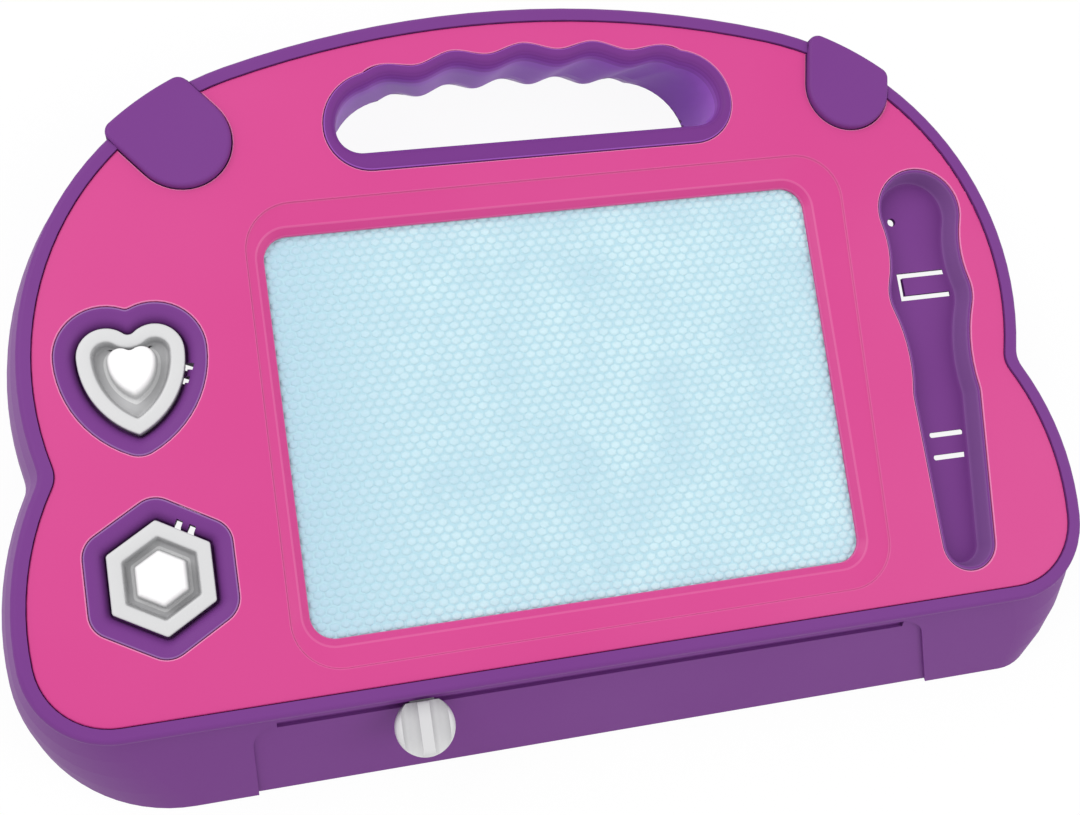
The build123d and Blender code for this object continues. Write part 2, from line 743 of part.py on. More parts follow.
def hidden_edge(shape):
    """Edge of an insert that lies under the panel, clear of the panel's ledge."""
    return slab(shape & panel_outline(-ledge_width - joint_gap), hidden_z, panel_back_z)


def stamp_pocket(outline):
    """Dished pocket with a hidden edge under the panel."""
    lean = (pocket_width - pocket_lip - stamp_gap) / (pocket_top_z - pocket_floor_z)
    under_z = pocket_floor_z - pocket_floor
    under_grow = stamp_gap + pocket_wall
    neck_grow = under_grow + lean * (hidden_z - under_z)
    rim = slab(outline(pocket_width), hidden_z, pocket_top_z)
    edge = hidden_edge(outline(pocket_width + hidden_flange))
    bowl = taper(outline(under_grow), under_z, outline(neck_grow), hidden_z)
    dish = taper(outline(stamp_gap), pocket_floor_z, outline(pocket_width - pocket_lip), pocket_top_z)
    mouth = slab(outline(pocket_width - pocket_lip), pocket_top_z, pocket_top_z + overrun)
    return rim + edge + bowl - dish - mouth


def notches(middle, radius, angle):
    """Two small through notches beside a stamp."""
    cuts = []
    for offset in (-notch_apart / 2, notch_apart / 2):
        turn = Pos(*middle) * Rot(0, 0, angle)
        middle_out = radius + notch_out - notch_length / 2
        shape = turn * Pos(middle_out, offset) * Rectangle(notch_length, notch_width)
        cuts.append(slab(shape, pocket_floor_z - pocket_floor - overrun, pocket_top_z))
    return cuts


def heart_pocket():
    body = stamp_pocket(stamp_heart)
    for cut in notches((heart_x, heart_y), heart_width / 2, heart_notch_angle):
        body -= cut
    return body


def hexagon_pocket():
    body = stamp_pocket(stamp_hexagon)
    for cut in notches((hexagon_x, hexagon_y), hexagon_flat / 2, hexagon_notch_angle):
        body -= cut
    return body


def stamp(outline, knob):
    """Cup with a middle knob and a shallow seat for its magnet sheet underneath."""
    body = slab(outline(0), pocket_floor_z, stamp_top_z)
    body -= slab(outline(-stamp_rim), stamp_top_z - stamp_recess, stamp_top_z + overrun)
    grip = slab(knob, stamp_top_z - stamp_recess, stamp_top_z + knob_rise)
    ring = grip.edges().group_by(Axis.Z)[-1]
    body += fillet(ring, knob_round)
    seat = outline(-foot_magnet_inset + foot_gap)
    body -= slab(seat, pocket_floor_z - overrun, pocket_floor_z + foot_magnet_thick)
    return body


def stamp_magnet(outline):
    return slab(outline(-foot_magnet_inset), pocket_floor_z, pocket_floor_z + foot_magnet_thick)


def heart_stamp():
    share = heart_knob_width / heart_width
    knob = heart_outline(heart_width * share, heart_lobe * share, heart_drop * share, heart_tip, 0)
    return stamp(stamp_heart, Pos(heart_x, heart_y - heart_knob_width / 8) * knob)


def hexagon_stamp():
    knob = hexagon_outline(hexagon_knob_flat, hexagon_round, 0)
    return stamp(stamp_hexagon, Pos(hexagon_x, hexagon_y) * knob)


def tab_slit():
    """Slit on three sides of the sprung tab."""
    middle = (tray_body[0] + tab_offset[0] + tab_length / 2, tray_body[1] + tab_offset[1])
    outer = Pos(*middle) * Rectangle(tab_length, tab_width)
    inner = Pos(middle[0] + slit, middle[1]) * Rectangle(tab_length, tab_width - 2 * slit)
    return outer - inner


def pen_tray():
    floor_low = tray_floor_z - tray_floor
    rim = slab(tray_outline(0), floor_low, tray_top_z)
    edge = hidden_edge(tray_outline(hidden_flange))
    hollow = taper(tray_outline(-tray_slope), tray_floor_z, tray_outline(-pocket_lip), tray_top_z)
    body = rim + edge - hollow
    hole = (tray_head[0] + cord_hole_offset[0], tray_head[1] + cord_hole_offset[1])
    slots = (tray_stem[0] + cord_slot_offset[0], tray_stem[1] + cord_slot_offset[1])
    cuts = [tab_slit(), Pos(*hole) * Circle(cord_hole_radius)]
    for apart in (-cord_slot_apart / 2, cord_slot_apart / 2):
        cuts.append(Pos(slots[0], slots[1] + apart) * SlotOverall(cord_slot_length, slit))
    for cut in cuts:
        body -= slab(cut, floor_low - overrun, tray_floor_z + overrun)
    return body


def sheet(low, high):
    """One layer of the drawing screen."""
    return slab(screen_outline(sheet_side, sheet_end, screen_corner), low, high)


def honeycomb_core():
    """One plate that stands for the thin-walled cells and the fluid in them."""
    return sheet(core_back_z, core_top_z)


def screen_clamp_frame():
    shape = screen_outline(frame_side, frame_end, frame_corner)
    body = slab(shape, frame_back_z, sheet_back_z)
    window = screen_outline(frame_window_side, frame_window_end, frame_corner)
    body -= slab(window, frame_back_z - overrun, sheet_back_z + overrun)
    for x, y in frame_screw_places():
        body -= Pos(x, y) * rod(small_shank + hole_gap, frame_back_z - overrun, sheet_back_z + overrun)
    return body


def guide_rail(side):
    """Angle rail under the frame that holds one end of the carrier."""
    low_x = screen_x - screen_width / 2 - frame_window_side
    high_x = screen_x + screen_width / 2 + frame_window_side
    edge = window_low_y if side < 0 else -window_high_y
    inner = block(low_x, high_x, edge - rail_lip - rail_wall, edge - rail_lip, rail_back_z, frame_back_z)
    lip = block(low_x, high_x, edge - rail_lip, edge, rail_back_z, rail_back_z + rail_wall)
    body = inner + lip
    return body if side < 0 else mirror(body, Plane.XZ)


def eraser_bar():
    """Carrier across the screen with an arm under the rail and a post for the knob's tongue."""
    low_y = window_low_y - rail_lip + rail_gap
    high_y = window_high_y + rail_lip - rail_gap
    half = bar_width / 2
    low_z = rail_back_z + rail_wall + rail_gap
    body = block(knob_x - half, knob_x + half, low_y, high_y, low_z, bar_top_z)
    land = (screen_low_y + magnet_end - boss_wall, screen_high_y - magnet_end + boss_wall)
    body += block(knob_x - half, knob_x + half, *land, bar_top_z, magnet_top_z - magnet_seat)
    seat = magnet_width / 2 + hole_gap
    seat_low_y = screen_low_y + magnet_end - hole_gap
    seat_high_y = screen_high_y - magnet_end + hole_gap
    body -= block(knob_x - seat, knob_x + seat, seat_low_y, seat_high_y,
                  magnet_top_z - magnet_thick, magnet_top_z)
    arm = arm_width / 2
    root_y = window_low_y + arm_root
    post_y = tongue_end - post_thick
    body += block(knob_x - arm, knob_x + arm, root_y - arm_thick, root_y, arm_low_z, low_z)
    body += block(knob_x - arm, knob_x + arm, post_y, root_y, arm_low_z, arm_top_z)
    body += block(knob_x - arm, knob_x + arm, post_y, tongue_end, arm_low_z, tongue_low_z)
    hole = rod(small_shank + hole_gap, arm_low_z - overrun, tongue_low_z + overrun)
    return body - Pos(knob_x, knob_screw_y) * hole


def eraser_magnet():
    half = magnet_width / 2
    return block(knob_x - half, knob_x + half, screen_low_y + magnet_end, screen_high_y - magnet_end,
                 magnet_top_z - magnet_thick, magnet_top_z)


def eraser_knob():
    """Thumb tab with two grooves outside the slot, and its flat tongue through the slot."""
    radius = knob_width / 2
    tip_y = knob_root_y - knob_length
    middle_y = tip_y + radius
    disc = Pos(knob_x, middle_y) * rod(radius, knob_low_z, knob_high_z)
    disc = fillet(disc.edges().sort_by(Axis.Z)[-1], knob_crown)
    disc = fillet(disc.edges().sort_by(Axis.Z)[0], knob_low_round)
    body = disc & block(knob_x - radius, knob_x + radius, tip_y, knob_root_y, knob_low_z, knob_high_z)
    groove_z = knob_high_z + groove_radius - groove_depth
    groove = Cylinder(groove_radius, 2 * knob_width, rotation=(90, 0, 0))
    body -= [Pos(knob_x + side * groove_apart / 2, middle_y, groove_z) * groove for side in (-1, 1)]
    half = arm_width / 2
    root = knob_root_y - overrun
    body += block(knob_x - half, knob_x + half, root, tongue_end, tongue_low_z, tongue_high_z)
    hole = rod(small_shank + hole_gap, tongue_low_z - overrun, tongue_high_z + overrun)
    return body - Pos(knob_x, knob_screw_y) * hole


def knob_screw():
    """Screw up through the arm's post into the knob's tongue."""
    low = arm_low_z - small_head_thick
    made = screw(small_shank, small_head, small_head_thick, low, tongue_high_z - arm_low_z)
    return Pos(knob_x, knob_screw_y) * made


def clamp_screws():
    low = frame_back_z - small_head_thick
    reach = panel_back_z - boss_wall - frame_back_z
    made = screw(small_shank, small_head, small_head_thick, low, reach)
    return Compound([Pos(x, y) * made for x, y in frame_screw_places()])


def case_screws():
    low = counterbore_deep - screw_head_thick
    reach = boss_top_z + thread_bite - counterbore_deep
    made = screw(screw_shank, screw_head, screw_head_thick, low, reach)
    return Compound([Pos(x, y) * made for x, y in screw_places()])


pieces = {
    "rear_case": rear_case(),
    "front_cover": front_cover(),
    "handle_ring": handle_ring(),
    "corner_clip_left": corner_clip(-1),
    "corner_clip_right": corner_clip(1),
    "heart_pocket": heart_pocket(),
    "hexagon_pocket": hexagon_pocket(),
    "pen_tray": pen_tray(),
    "screen_film": sheet(core_top_z, film_top_z),
    "honeycomb_core": honeycomb_core(),
    "screen_backing": sheet(sheet_back_z, core_back_z),
    "screen_clamp_frame": screen_clamp_frame(),
    "clamp_screws": clamp_screws(),
    "guide_rail_lower": guide_rail(-1),
    "guide_rail_upper": guide_rail(1),
    "eraser_bar": eraser_bar(),
    "eraser_magnet": eraser_magnet(),
    "eraser_knob": eraser_knob(),
    "knob_screw": knob_screw(),
    "heart_stamp": heart_stamp(),
    "heart_stamp_magnet": stamp_magnet(stamp_heart),
    "hexagon_stamp": hexagon_stamp(),
    "hexagon_stamp_magnet": stamp_magnet(stamp_hexagon),
    "case_screws": case_screws(),
}

for name, piece in pieces.items():
    export_step(Pos(0, -board_middle_y) * piece, f"parts/{name}.step")
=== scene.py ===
import json
from math import atan2, cos, degrees, hypot, pi, radians, sin, sqrt

import bmesh
import bpy
import numpy as np
from mathutils import Matrix, Quaternion, Vector
from mathutils.geometry import delaunay_2d_cdt


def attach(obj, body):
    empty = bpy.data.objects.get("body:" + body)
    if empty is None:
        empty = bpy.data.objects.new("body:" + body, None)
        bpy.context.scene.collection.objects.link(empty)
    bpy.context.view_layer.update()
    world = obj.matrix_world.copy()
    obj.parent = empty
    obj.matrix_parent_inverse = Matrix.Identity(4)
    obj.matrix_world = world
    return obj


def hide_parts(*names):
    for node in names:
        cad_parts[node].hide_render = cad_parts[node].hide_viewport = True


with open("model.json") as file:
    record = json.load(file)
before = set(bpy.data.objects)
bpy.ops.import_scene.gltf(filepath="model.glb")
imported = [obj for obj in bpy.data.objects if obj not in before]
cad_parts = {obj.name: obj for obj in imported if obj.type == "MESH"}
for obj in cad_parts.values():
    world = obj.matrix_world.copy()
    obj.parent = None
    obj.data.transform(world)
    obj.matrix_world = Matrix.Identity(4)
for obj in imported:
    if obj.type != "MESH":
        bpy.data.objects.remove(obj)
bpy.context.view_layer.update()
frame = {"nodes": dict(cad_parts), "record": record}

# Lengths of the board are in millimetres and go to metres once, in the mesh. The front is drawn
# from the middle of the panel's lower edge, and MIDDLE_Y moves it to the board's own middle.
MM = 0.001
MIDDLE_Y = 99.95
FACE = 42.0                  # face of the pink panel above the flat back
PANEL_BACK = 39.6
PANEL_ROUND = 0.4            # rounding of the panel's edges
CAP_ROUND = 0.6              # rounding of the corner caps' edges
CAP_CLEAR = 0.5              # which lie at least this far above the panel's face
CAP_TURN = 25                # degrees between the faces of a cap that get a round edge
FLAT_TURN = 0.5              # degrees within which facets are one flat face
WELD = 0.002                 # points nearer than this are one
LEVEL = 0.01                 # heights nearer than this are the same

# Drawing screen
SCREEN_X = 3.0
SCREEN_Y = 83.2
SCREEN_WIDTH = 188.2
SCREEN_HEIGHT = 132.1
SHEET_SIDE = 10.0            # how far the sheets run under the bezel
SHEET_END = 8.0
SHEET_CORNER = 8.0
SLOPE_SIDE = 20.0            # the slope round the screen ends within this
SLOPE_END = 13.0
SLOPE_DEPTH = 4.0
SLOPE_TURN = 12              # degrees between two faces of the slope that get a round edge
CUT_TURN = 60                # and between the panel's face and the wall of a cut-out
SLOPE_PALE = 0.25            # the slope's round edges get this much of the others' painted highlight
CORE_BACK = 35.2
CORE_TOP = 36.8
CELL_ACROSS = 3.76           # cell pitch along X
CELL_ROW = 2.59              # rows of cells, each half a pitch on
CELL_WALL = 0.5              # wall between two cells
CELL_DOME = 0.45             # fluid bulges over the walls
CELL_SHIFT = 0.16            # how far cells stray from their even places
CELL_TONES = (0.8, 1.0)      # palest share of the fluid, from cell to cell
DOME_RINGS = (               # share of the cell's width, and of the bulge
    (1 - CELL_WALL / CELL_ACROSS, 0.02), (0.74, 0.62), (0.45, 0.93),
)
DOME_TONES = (0.5, 0.95)     # share of the cell's tone on the bands between the rings

# Heart and hexagon stamps in their pockets
HEART_PLACE = np.array((-136.2, 115.43))
HEART_WIDTH = 33.606
HEART_LOBE = 9.201
HEART_DROP = 26.011
HEART_TIP = 0.9
HEART_CLEFT = 2.5
HEART_KNOB = 15.4
HEART_KNOB_DROP = HEART_KNOB / 8
HEXAGON_PLACE = np.array((-134.6, 43.57))
HEXAGON_FLAT = 31.902
HEXAGON_ROUND = 1.2
HEXAGON_KNOB = 16.0
HEXAGON_DIMPLE = 0.35        # hollow in the middle of the hexagon's knob
POCKET_WIDTH = 7.0
POCKET_LIP = 1.2
POCKET_STEP = 1.5            # shoulder that lies against the panel from below
POCKET_TOP = 41.7
POCKET_FLOOR = 35.0
POCKET_BASE = 33.0
POCKET_NECK = 37.6           # where the pocket passes under the panel
POCKET_UNDER = 2.4           # outside of the pocket's base from the stamp
POCKET_PALE = (0.5, 0.35)    # width and depth of the painted highlight on the round along the pocket's outer edge
STAMP_GAP = 0.6
STAMP_TOP = 41.7
STAMP_RIM = 4.4
STAMP_RECESS = 37.1
STAMP_KNOB_TOP = 43.5
NOTCH_WIDTH = 2.2
NOTCH_LENGTH = 3.2
NOTCH_APART = 4.4
NOTCH_OUT = 2.9
HEART_NOTCHES = -24.0        # direction of each pair of notches from the stamp's middle
HEXAGON_NOTCHES = 60.0

# Pen tray: middle and radius of each round
TRAY_HEAD = (141.4, 136.6, 15.5)
TRAY_BODY = (139.9, 106.5, 15.9)
TRAY_STEM = (138.8, 70.0, 12.7)
TRAY_TIP = (136.3, 17.55, 9.8)
TRAY_NECK = 40.0
TRAY_HIP = 60.0
TRAY_TOP = 41.7
TRAY_FLOOR = 34.0
TRAY_BASE = 32.2
TRAY_SLOPE = 3.0
TRAY_LIP_PALE = (0.45, 0.3)  # width and depth of the strongest painted highlight, on the round along the tray's edge
# painted light on the inner wall, which lies in shade
TRAY_WALL_PALE = 0.6
TRAY_SLIT = 1.9
TAB_PLACE = (132.0, 111.1)   # left end of the sprung tab
TAB_LENGTH = 19.8
TAB_WIDTH = 10.2
CORD_SLOTS = (139.8, 52.6)
CORD_SLOT_APART = 8.1
CORD_SLOT_LENGTH = 13.6
CORD_HOLE = (133.8, 135.3)
CORD_HOLE_RADIUS = 1.5

# Handle
HANDLE_X = 6.0
HANDLE_HALF = 72.0
HANDLE_FOOT = 168.8
HANDLE_MIDDLE = 184.2
HANDLE_LOW = 15.4
HANDLE_END = 19.0
HANDLE_ARCH = 300.0
HANDLE_WALL = 2.2
HANDLE_TOP = 42.6
HANDLE_RISE = 10.0           # added to the end rounds towards the back, which lifts the arch
SCALLOP = 1.4
SCALLOPS = 4.5
GLINT_PITCH = 25.0           # one painted glint beside each scallop

# Sections: each row is how far out, how high, and how much that corner is rounded
POCKET_SECTION = (
    (0, POCKET_BASE, 0),
    (POCKET_UNDER, POCKET_BASE, 0.5),
    (POCKET_WIDTH - POCKET_STEP, POCKET_NECK, 0),
    (POCKET_WIDTH, POCKET_NECK, 0),
    (POCKET_WIDTH, POCKET_TOP, 0.6),
    (POCKET_WIDTH - POCKET_LIP, POCKET_TOP, 0.8),
    (STAMP_GAP + 2.0, POCKET_TOP - 1.0, 2.0),
    (STAMP_GAP + 0.2, POCKET_TOP - 3.4, 1.0),
    (STAMP_GAP, POCKET_FLOOR, 0.1),
    (0, POCKET_FLOOR, 0),
)
STAMP_SECTION = (
    (-1, POCKET_FLOOR, 0),
    (0, POCKET_FLOOR, 0.3),
    (0, STAMP_TOP, 0.7),
    (-STAMP_RIM, STAMP_TOP, 0.7),
    (-STAMP_RIM - 0.9, STAMP_RECESS, 1.2),
    (-STAMP_RIM - 2.0, STAMP_RECESS, 0),
)
TRAY_SECTION = (
    (-TRAY_SLOPE - 0.4, TRAY_BASE, 0),
    (0, TRAY_BASE, 0),
    (0, TRAY_TOP, 0.6),
    (-POCKET_LIP, TRAY_TOP, 1.4),
    (-TRAY_SLOPE + 0.2, TRAY_FLOOR, 1.7),
    (-TRAY_SLOPE - 1.6, TRAY_FLOOR, 0),
)
LINING_DOME = (              # inset, inset at the foot, depth below the top, painted light
    (0.12, 0.12, 0.32, 0.6), (0.45, 0.45, 0.1, 0), (1.2, 1.4, 0, 0), (2.2, 4.2, 0.15, 0),
    (3.1, 5.6, 0.7, 0.1), (3.8, 6.5, 1.7, 0.3), (4.25, 7.0, 3.2, 0.6), (4.5, 7.2, 5.4, 1.0),
)
LINING_SLEEVE = (            # share of the way to the back, painted glint beside the scallops
    (0.3, 0), (0.6, 0), (0.8, 0.15), (0.92, 0.8), (1.0, 1.0),
)

# Finishes, with their painted light and shade: lengths in millimetres, and shares
PLASTIC_DRIFT = 70           # moulded plastic changes tone slowly, as it cooled unevenly
GRAIN = 0.5                  # spark-eroded grain is near 0.1: too fine to show, so drawn coarser
GRAIN_DEPTH = 0.02
GRAIN_GLOSS = 0.05           # roughness that the grain adds or takes away
SHADE_REACH = 7              # deep corners get painted shade over this distance
SHADE_OPEN = (0.35, 0.95)    # open share of the view at full shade, and at none
FLUID_DRIFT = 22             # blue patches in the fluid
FLUID_PATCH = (0.35, 0.75)   # noise where a patch begins, and where it is full
FLUID_BLUE = 0.6             # share of blue in a patch
LEFT_PAINTED_SHADE = 0.9              # share of darker blue at the screen's left side: painted shade along the bezel
LEFT_REACH = 0.3             # share of the screen's width over which it fades
FILM_PASS = (0.985, 0.99, 0.995, 1.0)   # linear light through a face: too near white for hex
FILM_BLEND = 0.25            # how early the film's gloss grows towards flat angles

# Camera in millimetres, lamps and floor in metres
CAMERA_PLACE = (-113.1, -86.95, 524.5)
CAMERA_LOOK = (0.21218, 0.13917, -0.96727)
CAMERA_RIGHT = (0.97007, -0.14962, 0.19127)
LAMP_AIM = (0, 0, 0.04)
LAMP_SIZE = 1.2
LAMPS = (                    # place and power
    ("key_softbox", (-0.9, 0.7, 1.3), 11.5),
    ("fill_softbox", (1.2, -0.4, 1.2), 7.4),
)
WORLD_LIGHT = 0.7
PAPER_GLOW = 0.93            # share of plain white in what the camera sees of the floor
FLOOR_HALF = 3.0
FLOOR_DROP = 0.0003          # keeps the floor clear of the flat back


def linear(code):
    """sRGB hex to linear light: below 0.04045 divided by 12.92, above it the 2.4 power curve."""
    parts = [int(code[i:i + 2], 16) / 255 for i in (1, 3, 5)]
    light = [c / 12.92 if c <= 0.04045 else ((c + 0.055) / 1.055) ** 2.4 for c in parts]
    return (*light, 1.0)


WHITE = linear("#FFFFFF")


def add_node(tree, kind, inputs=(), **settings):
    """Adds a node: a socket given as input is linked to, and any other value is set."""
    made = tree.nodes.new(kind)
    for name, value in settings.items():
        setattr(made, name, value)
    for name, value in dict(inputs).items():
        if isinstance(value, bpy.types.NodeSocket):
            tree.links.new(value, made.inputs[name])
        else:
            made.inputs[name].default_value = value
    return made


def new_material(name):
    """Empty node material with its output node."""
    made = bpy.data.materials.new(name)
    made.use_nodes = True
    made.node_tree.nodes.clear()
    return made, made.node_tree, add_node(made.node_tree, "ShaderNodeOutputMaterial")


def per_metre(size_mm):
    """Noise scale whose features are about this many millimetres apart."""
    return 1000 / size_mm


def blend_colours(tree, share, first, second):
    """Colour between two, by share."""
    made = add_node(tree, "ShaderNodeMix", {0: share, 6: first, 7: second}, data_type="RGBA")
    return made.outputs[2]


def moulded_plastic(name, colour, pale, roughness, specular=0.5, painted_light_share=0.75,
                    hollow_shade=0.0, uneven=0.09, painted_highlight_colour=None):
    """Injection-moulded plastic: slow tone drift and fine spark-eroded grain. Painted light: marked
    faces turn paler, as highlights on round edges and light on walls in shade, faces marked for a
    painted highlight turn brighter, and hollow_shade paints shade grey into deep corners."""
    made, tree, out = new_material(name)
    place = add_node(tree, "ShaderNodeTexCoord").outputs["Object"]
    drift = add_node(tree, "ShaderNodeTexNoise", {
        "Vector": place, "Scale": per_metre(PLASTIC_DRIFT), "Detail": 2.0})
    tone = add_node(tree, "ShaderNodeMapRange", {
        "Value": drift.outputs["Fac"], "To Min": 0.0, "To Max": uneven})
    body = blend_colours(tree, tone.outputs["Result"], linear(colour), linear(pale))
    # Painted light: marked faces turn towards the pale colour, as highlights on round edges and as
    # light on walls in shade.
    painted_light = add_node(tree, "ShaderNodeAttribute", attribute_name="painted_light")
    share = add_node(tree, "ShaderNodeMath", {0: painted_light.outputs["Fac"], 1: painted_light_share},
                     operation="MULTIPLY")
    skin_colour = blend_colours(tree, share.outputs[0], body, linear(pale))
    # Painted highlight: faces marked for it turn to a brighter colour, as glints on the grip and
    # lit tops of the stamps' knobs.
    painted_highlight = add_node(tree, "ShaderNodeAttribute", attribute_name="painted_highlight")
    skin_colour = blend_colours(tree, painted_highlight.outputs["Fac"], skin_colour,
                                linear(painted_highlight_colour or pale))
    # Painted shade: deep corners, which see less of the view, turn towards a grey.
    if hollow_shade > 0:
        open_share = add_node(tree, "ShaderNodeAmbientOcclusion", {"Distance": SHADE_REACH * MM},
                              samples=6)
        depth = add_node(tree, "ShaderNodeMapRange", {
            "Value": open_share.outputs["AO"], "From Min": SHADE_OPEN[0],
            "From Max": SHADE_OPEN[1], "To Min": hollow_shade, "To Max": 0.0})
        skin_colour = blend_colours(tree, depth.outputs["Result"], skin_colour, linear("#616165"))
    sand = add_node(tree, "ShaderNodeTexNoise", {
        "Vector": place, "Scale": per_metre(GRAIN), "Detail": 3.0})
    gloss = add_node(tree, "ShaderNodeMapRange", {
        "Value": sand.outputs["Fac"], "To Min": roughness - GRAIN_GLOSS,
        "To Max": roughness + GRAIN_GLOSS})
    bump = add_node(tree, "ShaderNodeBump", {
        "Height": sand.outputs["Fac"], "Strength": 0.3, "Distance": GRAIN_DEPTH * MM})
    skin = add_node(tree, "ShaderNodeBsdfPrincipled", {
        "Base Color": skin_colour, "Roughness": gloss.outputs["Result"],
        "Specular IOR Level": specular, "Normal": bump.outputs["Normal"]})
    tree.links.new(skin.outputs[0], out.inputs["Surface"])
    return made


def cell_sheet(name, wall, pale, blue):
    """Cell sheet filled with pale fluid: walls darker than the fluid, whose colour drifts towards
    blue in slow patches and turns a darker blue along the left side as painted shade. The sheet
    also glows faintly as painted light."""
    made, tree, out = new_material(name)
    place = add_node(tree, "ShaderNodeTexCoord").outputs["Object"]
    fluid = add_node(tree, "ShaderNodeAttribute", attribute_name="fluid")
    drift = add_node(tree, "ShaderNodeTexNoise", {
        "Vector": place, "Scale": per_metre(FLUID_DRIFT), "Detail": 3.0})
    tone = add_node(tree, "ShaderNodeMapRange", {
        "Value": drift.outputs["Fac"], "From Min": FLUID_PATCH[0], "From Max": FLUID_PATCH[1],
        "To Max": FLUID_BLUE})
    across = add_node(tree, "ShaderNodeSeparateXYZ", {"Vector": place}).outputs["X"]
    left = add_node(tree, "ShaderNodeMapRange", {
        "Value": across, "From Min": (SCREEN_X - SCREEN_WIDTH / 2) * MM,
        "From Max": (SCREEN_X - SCREEN_WIDTH / 2 + SCREEN_WIDTH * LEFT_REACH) * MM,
        "To Min": LEFT_PAINTED_SHADE, "To Max": 0.0})
    blue_patch_and_painted_shade = add_node(tree, "ShaderNodeMath", {0: tone.outputs["Result"], 1: left.outputs["Result"]},
                     operation="MAXIMUM")
    liquid = blend_colours(tree, blue_patch_and_painted_shade.outputs[0], linear(pale), linear(blue))
    body = blend_colours(tree, fluid.outputs["Fac"], linear(wall), liquid)
    # Faint emission of the sheet's own colour: painted light.
    skin = add_node(tree, "ShaderNodeBsdfPrincipled", {
        "Base Color": body, "Roughness": 0.5, "Specular IOR Level": 0.3,
        "Emission Color": body, "Emission Strength": 0.1})
    tree.links.new(skin.outputs[0], out.inputs["Surface"])
    return made


def clear_film(name, roughness, sheen):
    """Clear film: what lies behind shows through, under a gloss that grows at flat angles."""
    made, tree, out = new_material(name)
    clear = add_node(tree, "ShaderNodeBsdfTransparent", {"Color": FILM_PASS})
    gloss = add_node(tree, "ShaderNodeBsdfGlossy", {"Color": WHITE, "Roughness": roughness})
    angle = add_node(tree, "ShaderNodeLayerWeight", {"Blend": FILM_BLEND})
    share = add_node(tree, "ShaderNodeMath", {0: angle.outputs["Fresnel"], 1: sheen},
                     operation="MULTIPLY")
    mix = add_node(tree, "ShaderNodeMixShader", {
        0: share.outputs[0], 1: clear.outputs[0], 2: gloss.outputs[0]})
    tree.links.new(mix.outputs[0], out.inputs["Surface"])
    return made


# Satin moulded ABS: wide soft highlights, a hardly seen grain, and painted highlights, paler lines
# on round edges.
pink_abs = moulded_plastic("pink_abs_satin_moulded", "#D23C8B", "#EE93C0", 0.38, specular=0.3)
purple_abs = moulded_plastic("purple_abs_satin_moulded", "#763888", "#A480B8", 0.45,
                             specular=0.1, painted_light_share=0.55)
# White ABS is a little glossier. Its recesses get painted shade, grey where they see less of the
# view, and its knobs a painted highlight of plain white.
white_abs = moulded_plastic("white_abs_satin_moulded", "#D4D4D5", "#FFFFFF", 0.36, specular=0.4,
                            hollow_shade=0.5)
# The grip's wall is painted paler, as light on its outer round and where it lies in shade, with
# painted white glints at the scallops.
purple_lining = moulded_plastic("purple_abs_satin_moulded_painted_light", "#763888", "#AC66D0", 0.45,
                                specular=0.1, painted_light_share=1.0, uneven=0.0, painted_highlight_colour="#FFFFFF")
# Pieces out of sight share the moulded recipe: polypropylene looks waxy and plain, calendered PVC
# smooth, and filled rubber dull and black.
grey_pp = moulded_plastic("grey_polypropylene_moulded", "#B8B8BC", "#CFCFD2", 0.5)
backing_pvc = moulded_plastic("white_pvc_sheet_calendered", "#D8DEE2", "#E6EAEC", 0.45)
ferrite = moulded_plastic("black_ferrite_rubber_strip", "#1E1C1C", "#3A3838", 0.7)
# So do the screws, deep in their holes: passivated zinc on turned steel is a pale, broad-glossed
# grey.
zinc_steel = moulded_plastic("zinc_plated_steel_turned", "#A5A5A8", "#C4C4C8", 0.35)
# Darker walls let the eye read single cells, and the blue drift keeps the sheet from looking
# printed. Cast PET film lays a faint satin gloss over them.
cells = cell_sheet("cell_sheet_filled_with_fluid", "#BCDBE4", "#D3EAEF", "#B6D4E2")
film = clear_film("clear_pet_film_cast", 0.35, 0.35)

finishes = {
    "panel_plastic": pink_abs, "case_plastic": purple_abs, "stamp_plastic": white_abs,
    "film": film, "cells": cells, "backing": backing_pvc, "inner_plastic": grey_pp,
    "magnet": ferrite, "screw_steel": zinc_steel,
}
slot_of = {part["node"]: part["material_slot"] for part in frame["record"]["subparts"]}
bodies = frame["record"]["behaviour"]["bodies"]
body_of = {node: name for name, nodes in bodies.items() for node in nodes}
for name, slot in slot_of.items():
    mesh = frame["nodes"][name].data
    mesh.materials.clear()
    mesh.materials.append(finishes[slot])


def in_scene(name, data):
    """Object in the scene for a mesh, a camera or a lamp."""
    made = bpy.data.objects.new(name, data)
    bpy.context.scene.collection.objects.link(made)
    return made


def dressed(made, node, shade=35):
    """Puts a finished piece in place of its node: body, slot, material and smooth shading up to
    an angle."""
    made.data.materials.clear()
    made.data.materials.append(finishes[slot_of[node]])
    made.data.shade_smooth()
    made.data.set_sharp_from_angle(angle=radians(shade))
    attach(made, body_of[node])
    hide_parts(node)
    return made


def piece(name, points, faces, marks=()):
    """Object from points in millimetres of the panel's frame, faces and named values per face."""
    mesh = bpy.data.meshes.new(name)
    placed = (np.asarray(points, float) - (0, MIDDLE_Y, 0)) * MM
    mesh.from_pydata(placed.tolist(), [], faces)
    for key, values in dict(marks).items():
        layer = mesh.attributes.new(key, "FLOAT", "FACE")
        layer.data.foreach_set("value", np.asarray(values, np.float32))
    return in_scene(name, mesh)


def heading(start, end):
    """Angle in degrees from one point to another."""
    return degrees(atan2(end[1] - start[1], end[0] - start[0]))


def on_circle(centre, radius, angle):
    """Point of a circle at an angle in degrees."""
    return (centre[0] + radius * cos(radians(angle)), centre[1] + radius * sin(radians(angle)))


def arc(centre, radius, start, end, steps):
    """Points centre + radius (cos a, sin a) for a from start to end, with the last left out."""
    angle = np.radians(np.linspace(start, end, steps, endpoint=False))
    return np.column_stack((centre[0] + radius * np.cos(angle), centre[1] + radius * np.sin(angle)))


